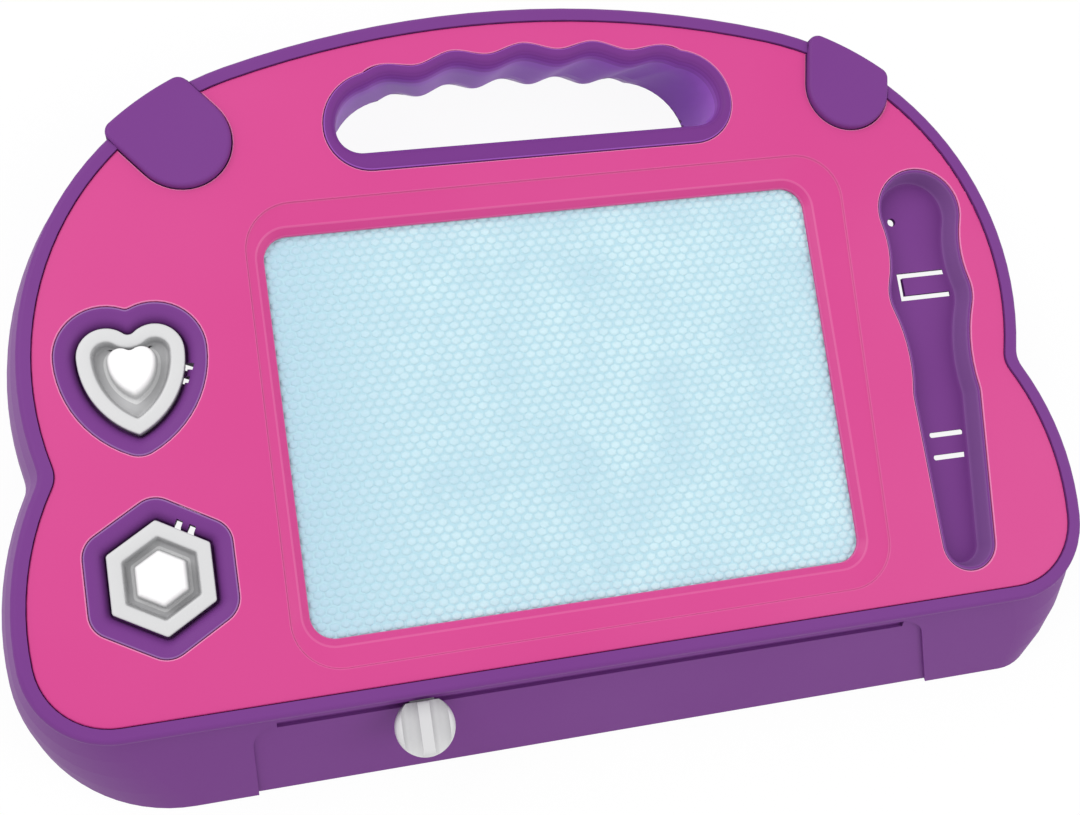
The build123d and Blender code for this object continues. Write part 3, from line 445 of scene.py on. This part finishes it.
def heart_outline(grow, scale=1.0):
    """Heart of two lobes, side arcs, a rounded point and a hollow on top, offset by grow."""
    width, lobe, drop = HEART_WIDTH * scale, HEART_LOBE * scale, HEART_DROP * scale
    lobe_x = width / 2 - lobe
    side_radius = ((width / 2) ** 2 + drop**2) / width
    side_x = width / 2 - side_radius
    tip_round = max(HEART_TIP + grow, HEART_TIP)
    tip = (0, -sqrt((side_radius + grow - tip_round) ** 2 - side_x**2))
    cleft_round = max(HEART_CLEFT - grow, HEART_CLEFT)
    cleft = (0, sqrt((lobe + grow + cleft_round) ** 2 - lobe_x**2))
    side_start = heading((side_x, 0), tip)
    lobe_end = heading((lobe_x, 0), cleft)
    half = np.vstack((
        arc(tip, tip_round, -90, side_start, 6),
        arc((side_x, 0), side_radius + grow, side_start, 0, 18),
        arc((lobe_x, 0), lobe + grow, 0, lobe_end, 20),
        arc(cleft, cleft_round, heading(cleft, (lobe_x, 0)), -90, 6),
    ))
    top = (cleft[0], cleft[1] - cleft_round)
    other = half[:0:-1] * (-1, 1)
    return np.vstack((half, [top], other))


def hexagon_outline(grow, flat=HEXAGON_FLAT):
    """Hexagon standing on a rounded point, offset by grow."""
    corner_round = max(HEXAGON_ROUND + grow, HEXAGON_ROUND)
    reach = (flat / 2 + grow - corner_round) / cos(radians(30))
    corners = []
    for turn in range(30, 390, 60):
        middle = on_circle((0, 0), reach, turn)
        corners.append(arc(middle, corner_round, turn - 30, turn + 30, 7))
        corners.append([on_circle(middle, corner_round, turn + 30)])
    return np.vstack(corners)


def outer_meeting(first, second, reach, side):
    """Middle of a circle that lies reach outside two rounds, on the side of larger or smaller X."""
    apart = hypot(second[0] - first[0], second[1] - first[1])
    first_reach, second_reach = first[2] + reach, second[2] + reach
    along = (first_reach**2 - second_reach**2 + apart**2) / (2 * apart)
    across = side * sqrt(first_reach**2 - along**2)
    unit = ((second[0] - first[0]) / apart, (second[1] - first[1]) / apart)
    return (
        first[0] + unit[0] * along - unit[1] * across,
        first[1] + unit[1] * along + unit[0] * across,
    )


def tray_outline(grow):
    """Round head, drawn-in neck, round body, hollow hips and a straight stem with a round tip."""
    rounds = (TRAY_HEAD, TRAY_BODY, TRAY_STEM, TRAY_TIP)
    head, body, stem, tip = (place[:2] for place in rounds)
    head_round, body_round, stem_round, tip_round = (place[2] + grow for place in rounds)
    neck_right, neck_left = (
        outer_meeting(TRAY_BODY, TRAY_HEAD, TRAY_NECK, side) for side in (-1, 1))
    hip_right, hip_left = (
        outer_meeting(TRAY_STEM, TRAY_BODY, TRAY_HIP, side) for side in (-1, 1))
    down = heading(stem, tip)
    run = hypot(tip[0] - stem[0], tip[1] - stem[1])
    lean = degrees(np.arccos((stem_round - tip_round) / run))
    neck = TRAY_NECK - grow
    hip = TRAY_HIP - grow
    return np.vstack((
        arc(head, head_round, heading(head, neck_right), heading(head, neck_left) + 360, 40),
        arc(neck_left, neck, heading(neck_left, head), heading(neck_left, body), 8),
        arc(body, body_round, heading(body, neck_left), heading(body, hip_left) + 360, 16),
        arc(hip_left, hip, heading(hip_left, body), heading(hip_left, stem), 12),
        arc(stem, stem_round, heading(stem, hip_left), down - lean + 360, 4),
        arc(tip, tip_round, down - lean, down + lean, 28),
        arc(stem, stem_round, down + lean, heading(stem, hip_right), 4),
        arc(hip_right, hip, heading(hip_right, stem) + 360, heading(hip_right, body), 12),
        arc(body, body_round, heading(body, hip_right), heading(body, neck_right), 16),
        arc(neck_right, neck, heading(neck_right, body) + 360, heading(neck_right, head), 8),
    ))


def handle_outline(inset, foot_inset, rise):
    """Straight foot, round ends and an arch whose height adds depth * cos(2 pi x / wave)."""
    half = HANDLE_HALF - inset
    foot = HANDLE_FOOT + foot_inset
    low_radius = HANDLE_LOW - foot_inset
    end_radius = HANDLE_END - inset + rise
    end_x = half - end_radius
    arch_y = HANDLE_MIDDLE - sqrt((HANDLE_ARCH - end_radius) ** 2 - end_x**2)
    arch_angle = heading((0, arch_y), (end_x, HANDLE_MIDDLE))
    edge_x = on_circle((0, arch_y), HANDLE_ARCH, arch_angle)[0]
    wave = 2 * edge_x / SCALLOPS
    x = np.linspace(edge_x, -edge_x, 128, endpoint=False)
    height = np.sqrt(HANDLE_ARCH**2 - x**2) + SCALLOP * np.cos(2 * pi * x / wave)
    crest = np.column_stack((x, arch_y + height))
    right = np.vstack((
        arc((half - low_radius, HANDLE_MIDDLE), low_radius, -90, 0, 16),
        arc((end_x, HANDLE_MIDDLE), end_radius, 0, arch_angle, 16),
    ))
    # The arch starts on the round end, where the scallops have not begun.
    crest[0, 1] = HANDLE_MIDDLE + end_radius * sin(radians(arch_angle))
    left = right[::-1] * (-1, 1)
    ring = np.vstack((right, crest, left))
    return ring + (HANDLE_X, 0)


def rounded(section, steps=4):
    """Section whose corners b are rounded from a to c as (1-t)^2 a + 2t(1-t) b + t^2 c."""
    table = np.asarray(section, float)
    points, sizes = table[:, :2], table[1:-1, 2]
    t = np.linspace(0, 1, steps + 1)[:, None]
    rows = [points[:1]]
    for before, corner, after, size in zip(points, points[1:], points[2:], sizes):
        if size == 0:
            rows.append(corner[None])
            continue
        a = corner + (before - corner) * min(0.5, size / np.linalg.norm(before - corner))
        c = corner + (after - corner) * min(0.5, size / np.linalg.norm(after - corner))
        rows.append((1 - t) ** 2 * a + 2 * t * (1 - t) * corner + t**2 * c)
    rows.append(points[-1:])
    return np.vstack(rows)


def at_height(outline, height):
    """Ring of points: an outline at a height."""
    return np.column_stack((outline, np.full(len(outline), height)))


def ring_faces(rows, count, closed=False):
    """Quads between rows of a ring; closed joins the last row to the first."""
    i = np.arange(count)
    j = (i + 1) % count
    row = np.arange(rows if closed else rows - 1)[:, None] * count
    after = (row + count) % (rows * count)
    return np.stack((row + i, row + j, after + j, after + i), axis=-1).reshape(-1, 4).tolist()


def capped(name, rings, mark, bands, top):
    """Closed surface through rings from the underside's middle, out, up, over and in to the top's
    middle. Its faces carry a mark: a value for each band between rings, 0 below and one on top."""
    rows, count = rings.shape[:2]
    low = list(range(count))[::-1]
    high = list(range((rows - 1) * count, rows * count))
    faces = ring_faces(rows, count) + [low, high]
    values = np.append(np.repeat(bands, count), (0, top))
    return piece(name, rings.reshape(-1, 3), faces, {mark: values})


def cut_out(made, cutter):
    """Takes the cutter's volume out of a piece."""
    tool = made.modifiers.new("cut", "BOOLEAN")
    tool.operation, tool.solver, tool.object = "DIFFERENCE", "EXACT", cutter
    graph = bpy.context.evaluated_depsgraph_get()
    mesh = bpy.data.meshes.new_from_object(made.evaluated_get(graph))
    made.modifiers.clear()
    made.data = mesh
    bpy.data.objects.remove(cutter)


def notch_cutter(place, half_width, turn):
    """Two upright prisms beside a stamp, for the through notches."""
    out = half_width + NOTCH_OUT - np.array((1, 0, 0, 1)) * NOTCH_LENGTH
    across = np.array((-1, -1, 1, 1)) * NOTCH_WIDTH / 2
    along, aside = cos(radians(turn)), sin(radians(turn))
    turned = np.array(((along, aside), (-aside, along)))
    points, faces = [], []
    for offset in (-NOTCH_APART / 2, NOTCH_APART / 2):
        flat = np.column_stack((out, across + offset)) @ turned + place
        base = 4 * len(points)
        points += [at_height(flat, POCKET_BASE - 1), at_height(flat, POCKET_TOP + 1)]
        faces += [[base + 3, base + 2, base + 1, base], [base + 4, base + 5, base + 6, base + 7]]
        faces += [[base + i, base + (i + 1) % 4, base + 4 + (i + 1) % 4, base + 4 + i]
                  for i in range(4)]
    return piece("notch_cutter", np.vstack(points), faces)


def stamp_pocket(name, outline, place, half_width, turn):
    """Dished pocket: rounded lip, a belly that falls to the stamp's foot, and a cup underneath."""
    profile = rounded(POCKET_SECTION, steps=5)
    rings = np.stack([at_height(outline(grow) + place, height) for grow, height in profile])
    out, height = (profile[1:] + profile[:-1]).T / 2
    # The round along the outer edge gets a painted highlight.
    width, depth = POCKET_PALE
    marked = (height > POCKET_TOP - depth) & (out > POCKET_WIDTH - width)
    made = capped(name, rings, "painted_light", marked, 0)
    cut_out(made, notch_cutter(place, half_width, turn))
    return made


def stamp(name, outline, knob, place, knob_drop, dimple):
    """Cup with a soft rim, sloping recess and a domed middle knob, whose section runs from its foot
    in to its middle and scales its outline."""
    outer = rounded(STAMP_SECTION)
    half = knob(1.0)[:, 0].max()
    inner = rounded((
        (half + 1.2, STAMP_RECESS, 0),
        (half + 0.1, STAMP_RECESS, 0.9),
        (half - 0.4, STAMP_KNOB_TOP, 2.2),
        (half / 2, STAMP_KNOB_TOP + 0.2, 1.0),
        (1.6, STAMP_KNOB_TOP + 0.25, 0.8),
        (0.5, STAMP_KNOB_TOP + 0.25 - dimple, 0),
    ))
    rings = [at_height(outline(grow) + place, height) for grow, height in outer]
    rings += [at_height(knob(reach / half) + place - (0, knob_drop), height)
              for reach, height in inner]
    # The knob's faces get a painted highlight, plain white against the greyer rim.
    on_knob = np.arange(len(rings) - 1) >= len(outer)
    return capped(name, np.stack(rings), "painted_highlight", on_knob, 1)


def heart_knob(scale):
    """The stamp's knob: the same heart at a share of the knob's width."""
    return heart_outline(0, HEART_KNOB / HEART_WIDTH) * scale


def hexagon_knob(scale):
    """The stamp's knob: a smaller hexagon, scaled."""
    return hexagon_outline(0, HEXAGON_KNOB) * scale


def inside(points, ring):
    """True for points inside a closed outline: an odd number of its edges lies to their right."""
    x, y = points[:, :1], points[:, 1:]
    ax, ay = ring[:, 0], ring[:, 1]
    bx, by = np.roll(ax, -1), np.roll(ay, -1)
    crosses = (ay > y) != (by > y)
    slope = np.where(by == ay, 1, by - ay)
    right = x < (bx - ax) * (y - ay) / slope + ax
    return (crosses & right).sum(axis=1) % 2 == 1


def flat_with_holes(ring, holes):
    """Triangles that fill an outline but for its holes, and their points."""
    loops = [ring] + holes
    points = np.vstack(loops)
    edges, start = [], 0
    for loop in loops:
        count = len(loop)
        edges += [(start + i, start + (i + 1) % count) for i in range(count)]
        start += count
    found = delaunay_2d_cdt([Vector(p) for p in points.tolist()], edges, [], 0, 1e-6)
    points = np.array([tuple(p) for p in found[0]])
    triangles = np.array(found[2])
    middle = points[triangles].mean(axis=1)
    keep = inside(middle, ring)
    for hole in holes:
        keep &= ~inside(middle, hole)
    return points, triangles[keep]


def tray_holes():
    """Slit round the sprung tab, two cord slots and the cord hole, each a closed outline."""
    left, middle = TAB_PLACE
    right = left + TAB_LENGTH
    half, slot = TAB_WIDTH / 2, TRAY_SLIT
    slit = np.array((
        (left, middle - half), (right, middle - half), (right, middle - half + slot),
        (left + slot, middle - half + slot), (left + slot, middle + half - slot),
        (right, middle + half - slot), (right, middle + half), (left, middle + half),
    ))
    holes = [slit, arc(CORD_HOLE, CORD_HOLE_RADIUS, 0, 360, 20)]
    run = CORD_SLOT_LENGTH / 2 - slot / 2
    for offset in (-CORD_SLOT_APART / 2, CORD_SLOT_APART / 2):
        y = CORD_SLOTS[1] + offset
        ends = (
            arc((CORD_SLOTS[0] + run, y), slot / 2, -90, 90, 10),
            arc((CORD_SLOTS[0] - run, y), slot / 2, 90, 270, 10),
        )
        holes.append(np.vstack(ends))
    return holes


def tray_painted_light(profile):
    """Painted light on the bands of the tray's section: a painted highlight most along the lip,
    less on the inner wall, none on the outside, which is the first four bands, nor on the floor."""
    out, height = (profile[1:] + profile[:-1]).T / 2
    width, depth = TRAY_LIP_PALE
    marked = np.where(height < TRAY_TOP - depth, TRAY_WALL_PALE, (out > -width) * 1.0)
    marked[out < -TRAY_SLOPE] = 0
    marked[:4] = 0
    return marked


def pen_tray():
    """Tray with a rounded lip, a wall that curves in to the floor, and the floor's slits and
    holes."""
    profile = rounded(TRAY_SECTION, steps=5)
    rings = np.stack([at_height(tray_outline(grow), height) for grow, height in profile])
    rows, count = rings.shape[:2]
    points = [rings.reshape(-1, 3)]
    faces = ring_faces(rows, count)
    painted_light = [np.repeat(tray_painted_light(profile), count)]
    holes = tray_holes()
    start = rows * count
    for height, ring, turned in ((TRAY_FLOOR, rings[-1], False), (TRAY_BASE, rings[0], True)):
        flat, triangles = flat_with_holes(ring[:, :2], holes)
        points.append(at_height(flat, height))
        order = triangles[:, ::-1] if turned else triangles
        faces += (order + start).tolist()
        painted_light.append(np.zeros(len(triangles)))
        start += len(flat)
    for hole in holes:
        count = len(hole)
        points += [at_height(hole, TRAY_FLOOR), at_height(hole, TRAY_BASE)]
        faces += (np.array(ring_faces(2, count)) + start).tolist()
        painted_light.append(np.zeros(count))
        start += 2 * count
    made = piece("pen_tray_lined", np.vstack(points), faces, {"painted_light": np.concatenate(painted_light)})
    work = bmesh.new()
    work.from_mesh(made.data)
    bmesh.ops.remove_doubles(work, verts=work.verts, dist=WELD * MM)
    work.to_mesh(made.data)
    work.free()
    return dressed(made, "pen_tray")


def handle_ring():
    """Grip lining: domed flange round the opening and a sleeve down to the back. Painted glints
    follow sin^2 of the way along the arch, one beside each scallop, and painted light makes the
    flange's outer round and the sleeve's wall paler."""
    rows = [(0, 0, 0, PANEL_BACK, 0, 0), (0, 0, 0, FACE - 0.1, 0, 0)]
    rows += [(inset, foot, 0, HANDLE_TOP - drop, pale, 0)
             for inset, foot, drop, pale in LINING_DOME]
    inset, foot, drop, pale = LINING_DOME[-1]
    rows += [(inset, foot, HANDLE_RISE * down, (HANDLE_TOP - drop) * (1 - down), pale, shine)
             for down, shine in LINING_SLEEVE]
    rows += [(inset - HANDLE_WALL, foot - HANDLE_WALL, rise, height, 0, 0)
             for rise, height in ((HANDLE_RISE, 0), (0, PANEL_BACK))]
    rings = np.stack([at_height(handle_outline(*row[:3]), row[3]) for row in rows])
    count = rings.shape[1]
    pale, shine = np.array(rows)[:, 4:].T
    along = rings[0, :, 0] - HANDLE_X
    arch = rings[0, :, 1] > HANDLE_MIDDLE + HANDLE_LOW
    glint = arch * np.maximum(0, np.sin(2 * pi * along / GLINT_PITCH)) ** 2
    made = piece("handle_ring_domed", rings.reshape(-1, 3),
                 ring_faces(len(rows), count, closed=True),
                 {"painted_light": np.repeat(pale, count), "painted_highlight": np.outer(shine, glint).ravel()})
    dressed(made, "handle_ring")
    made.data.materials[0] = purple_lining
    return made


def cell_centres():
    """Middles of the cells: rows apart in Y, each row half a pitch on from the last, and each
    middle moved a little by chance."""
    columns = int(SCREEN_WIDTH / CELL_ACROSS / 2) + 3
    rows = int(SCREEN_HEIGHT / CELL_ROW / 2) + 3
    row, column = np.mgrid[-rows:rows + 1, -columns:columns + 1]
    x = SCREEN_X + (column + 0.5 * (row % 2)) * CELL_ACROSS
    y = SCREEN_Y + row * CELL_ROW
    shift = np.random.default_rng(4).normal(0, CELL_SHIFT, (2,) + x.shape)
    return np.column_stack(((x + shift[0]).ravel(), (y + shift[1]).ravel()))


def honeycomb():
    """Sheet of walls with a low six-sided dome of fluid over every cell."""
    half_x, half_y = SCREEN_WIDTH / 2 + SHEET_SIDE, SCREEN_HEIGHT / 2 + SHEET_END
    far_x, far_y = half_x - SHEET_CORNER, half_y - SHEET_CORNER
    corners = ((far_x, -far_y), (far_x, far_y), (-far_x, far_y), (-far_x, -far_y))
    # The sheet's corners lie out of sight under the bezel.
    ring = np.vstack([arc(corner, SHEET_CORNER, turn - 90, turn + 1, 8)
                      for corner, turn in zip(corners, (0, 90, 180, 270))]) + (SCREEN_X, SCREEN_Y)
    wall_top = CORE_TOP - CELL_DOME
    base = np.vstack((at_height(ring, CORE_BACK), at_height(ring, wall_top)))
    count = len(ring)
    faces = ring_faces(2, count) + [list(range(count))[::-1], list(range(count, 2 * count))]
    centres = cell_centres()
    angle = np.radians(np.arange(30, 390, 60))
    stretch = np.array((CELL_ACROSS, CELL_ROW / cos(radians(30)))) / 2 / cos(radians(30))
    six = np.column_stack((np.cos(angle), np.sin(angle)))
    domes = []
    for share, rise in DOME_RINGS:
        flat = centres[:, None] + six * stretch * share
        height = np.full(flat.shape[:2] + (1,), wall_top + CELL_DOME * rise)
        domes.append(np.concatenate((flat, height), axis=2))
    domes = np.stack(domes, axis=1).reshape(-1, 3)
    levels = len(DOME_RINGS)
    start = len(base) + np.arange(len(centres))[:, None, None] * levels * 6
    quads = np.array(ring_faces(levels, 6))[None] + start
    caps = np.arange(levels * 6 - 6, levels * 6)[None, None] + start
    tone = np.random.default_rng(9).uniform(*CELL_TONES, len(centres))[:, None]
    fluid = tone * np.repeat(DOME_TONES, 6)
    marks = np.concatenate((np.zeros(len(faces)), fluid.ravel(), tone.ravel()))
    faces += quads.reshape(-1, 4).tolist() + caps.reshape(-1, 6).tolist()
    made = piece("honeycomb_cells", np.vstack((base, domes)), faces, {"fluid": marks})
    return dressed(made, "honeycomb_core", shade=60)


def by_screen(point):
    """True for a place in metres on the slope round the screen."""
    x, y = point[0] / MM - SCREEN_X, point[1] / MM - SCREEN_Y + MIDDLE_Y
    return abs(x) < SCREEN_WIDTH / 2 + SLOPE_SIDE and abs(y) < SCREEN_HEIGHT / 2 + SLOPE_END


def panel_edges(work):
    """Level edges of the panel's cut-outs, and those of the slope round the screen where its
    faces turn."""
    found = []
    for line in work.edges:
        heights = np.array([v.co.z for v in line.verts]) / MM
        if (not line.is_manifold or np.ptp(heights) > LEVEL
                or heights.min() < FACE - SLOPE_DEPTH):
            continue
        turn = degrees(line.calc_face_angle())
        on_slope = all(by_screen(v.co) for v in line.verts) and turn > SLOPE_TURN
        if on_slope or (turn > CUT_TURN and heights.min() > FACE - LEVEL):
            found.append(line)
    return found


def cap_edges(work):
    """Sharp edges of a corner cap above the panel's face."""
    return [line for line in work.edges
            if line.is_manifold and line.calc_face_angle() > radians(CAP_TURN)
            and min(v.co.z for v in line.verts) > (FACE + CAP_CLEAR) * MM]


def softened(node, width, chosen, pale, steps=2):
    """Copy of a node with its flat facets merged and chosen edges rounded. The round faces carry
    a painted highlight of strength pale, less on the slope round the screen."""
    mesh = frame["nodes"][node].data.copy()
    if "custom_normal" in mesh.attributes:
        mesh.attributes.remove(mesh.attributes["custom_normal"])
    work = bmesh.new()
    work.from_mesh(mesh)
    bmesh.ops.remove_doubles(work, verts=work.verts, dist=WELD * MM)
    bmesh.ops.dissolve_limit(work, angle_limit=radians(FLAT_TURN), verts=work.verts,
                             edges=work.edges)
    painted_light = work.faces.layers.float.new("painted_light")
    made = bmesh.ops.bevel(work, geom=chosen(work), offset=width * MM, offset_type="OFFSET",
                           segments=steps, profile=0.5, affect="EDGES", clamp_overlap=False)
    for face in made["faces"]:
        face[painted_light] = pale * (SLOPE_PALE if by_screen(face.calc_center_median()) else 1.0)
    work.to_mesh(mesh)
    work.free()
    made = in_scene(f"{node}_rounded", mesh)
    made.modifiers.new("normals", "WEIGHTED_NORMAL").keep_sharp = True
    return dressed(made, node, shade=50)


dressed(stamp_pocket("heart_pocket_dished", heart_outline, HEART_PLACE, HEART_WIDTH / 2,
                     HEART_NOTCHES), "heart_pocket")
dressed(stamp_pocket("hexagon_pocket_dished", hexagon_outline, HEXAGON_PLACE, HEXAGON_FLAT / 2,
                     HEXAGON_NOTCHES), "hexagon_pocket")
dressed(stamp("heart_stamp_soft", heart_outline, heart_knob, HEART_PLACE, HEART_KNOB_DROP, 0.0),
        "heart_stamp", shade=60)
dressed(stamp("hexagon_stamp_soft", hexagon_outline, hexagon_knob, HEXAGON_PLACE, 0.0,
              HEXAGON_DIMPLE), "hexagon_stamp", shade=60)
pen_tray()
handle_ring()
honeycomb()
softened("front_cover", PANEL_ROUND, panel_edges, 1.0)
for side in ("left", "right"):
    softened(f"corner_clip_{side}", CAP_ROUND, cap_edges, 0.0, steps=3)


def camera():
    """Camera at the photograph's place: it looks down on the board from the lower left."""
    data = bpy.data.cameras.new("camera")
    data.lens, data.sensor_width = 50, 36
    data.clip_start, data.clip_end = 0.01, 20
    made = in_scene("camera", data)
    made.location = Vector(CAMERA_PLACE) * MM
    right = Vector(CAMERA_RIGHT)
    level = Vector(CAMERA_LOOK).to_track_quat("-Z", "Y")
    roll = atan2(right.dot(level @ Vector((0, 1, 0))), right.dot(level @ Vector((1, 0, 0))))
    made.rotation_mode = "QUATERNION"
    made.rotation_quaternion = level @ Quaternion((0, 0, 1), roll)
    bpy.context.scene.camera = made


def softbox(name, place, power):
    """Square area lamp turned towards the board."""
    data = bpy.data.lights.new(name, "AREA")
    data.shape, data.size, data.energy = "SQUARE", LAMP_SIZE, power
    made = in_scene(name, data)
    made.location = place
    made.rotation_mode = "QUATERNION"
    made.rotation_quaternion = (Vector(LAMP_AIM) - Vector(place)).to_track_quat("-Z", "Y")


def seen_rays(tree):
    """1 on camera, glossy and transmitted rays, 0 on the rays that light the object."""
    path = add_node(tree, "ShaderNodeLightPath")
    first = add_node(tree, "ShaderNodeMath", {
        0: path.outputs["Is Camera Ray"], 1: path.outputs["Is Glossy Ray"]}, operation="MAXIMUM")
    both = add_node(tree, "ShaderNodeMath", {
        0: first.outputs[0], 1: path.outputs["Is Transmission Ray"]}, operation="MAXIMUM")
    return both.outputs[0]


def studio():
    """Pale floor under the board, plain world light and soft lamps."""
    scene = bpy.context.scene
    scene.view_settings.view_transform = "Standard"
    world = bpy.data.worlds.new("studio")
    scene.world = world
    world.use_nodes = True
    tree = world.node_tree
    tree.nodes.clear()
    light = add_node(tree, "ShaderNodeBackground", {"Color": WHITE, "Strength": WORLD_LIGHT})
    white = add_node(tree, "ShaderNodeBackground", {"Color": WHITE, "Strength": 1.0})
    path = add_node(tree, "ShaderNodeLightPath")
    mix = add_node(tree, "ShaderNodeMixShader", {
        0: path.outputs["Is Camera Ray"], 1: light.outputs[0], 2: white.outputs[0]})
    out = add_node(tree, "ShaderNodeOutputWorld")
    tree.links.new(mix.outputs[0], out.inputs["Surface"])

    paper, tree, out = new_material("white_backdrop_paper")
    sheet = add_node(tree, "ShaderNodeBsdfDiffuse", {"Color": WHITE})
    glow = add_node(tree, "ShaderNodeEmission", {"Color": WHITE, "Strength": 1.0})
    share = add_node(tree, "ShaderNodeMath", {0: seen_rays(tree), 1: PAPER_GLOW},
                     operation="MULTIPLY")
    mix = add_node(tree, "ShaderNodeMixShader", {
        0: share.outputs[0], 1: sheet.outputs[0], 2: glow.outputs[0]})
    tree.links.new(mix.outputs[0], out.inputs["Surface"])
    mesh = bpy.data.meshes.new("floor")
    corners = [(x * FLOOR_HALF, y * FLOOR_HALF, 0)
               for x, y in ((-1, -1), (1, -1), (1, 1), (-1, 1))]
    mesh.from_pydata(corners, [], [(0, 1, 2, 3)])
    mesh.transform(Matrix.Translation((0, 0, -FLOOR_DROP)))
    mesh.materials.append(paper)
    in_scene("floor", mesh)

    for lamp in LAMPS:
        softbox(*lamp)


camera()
studio()
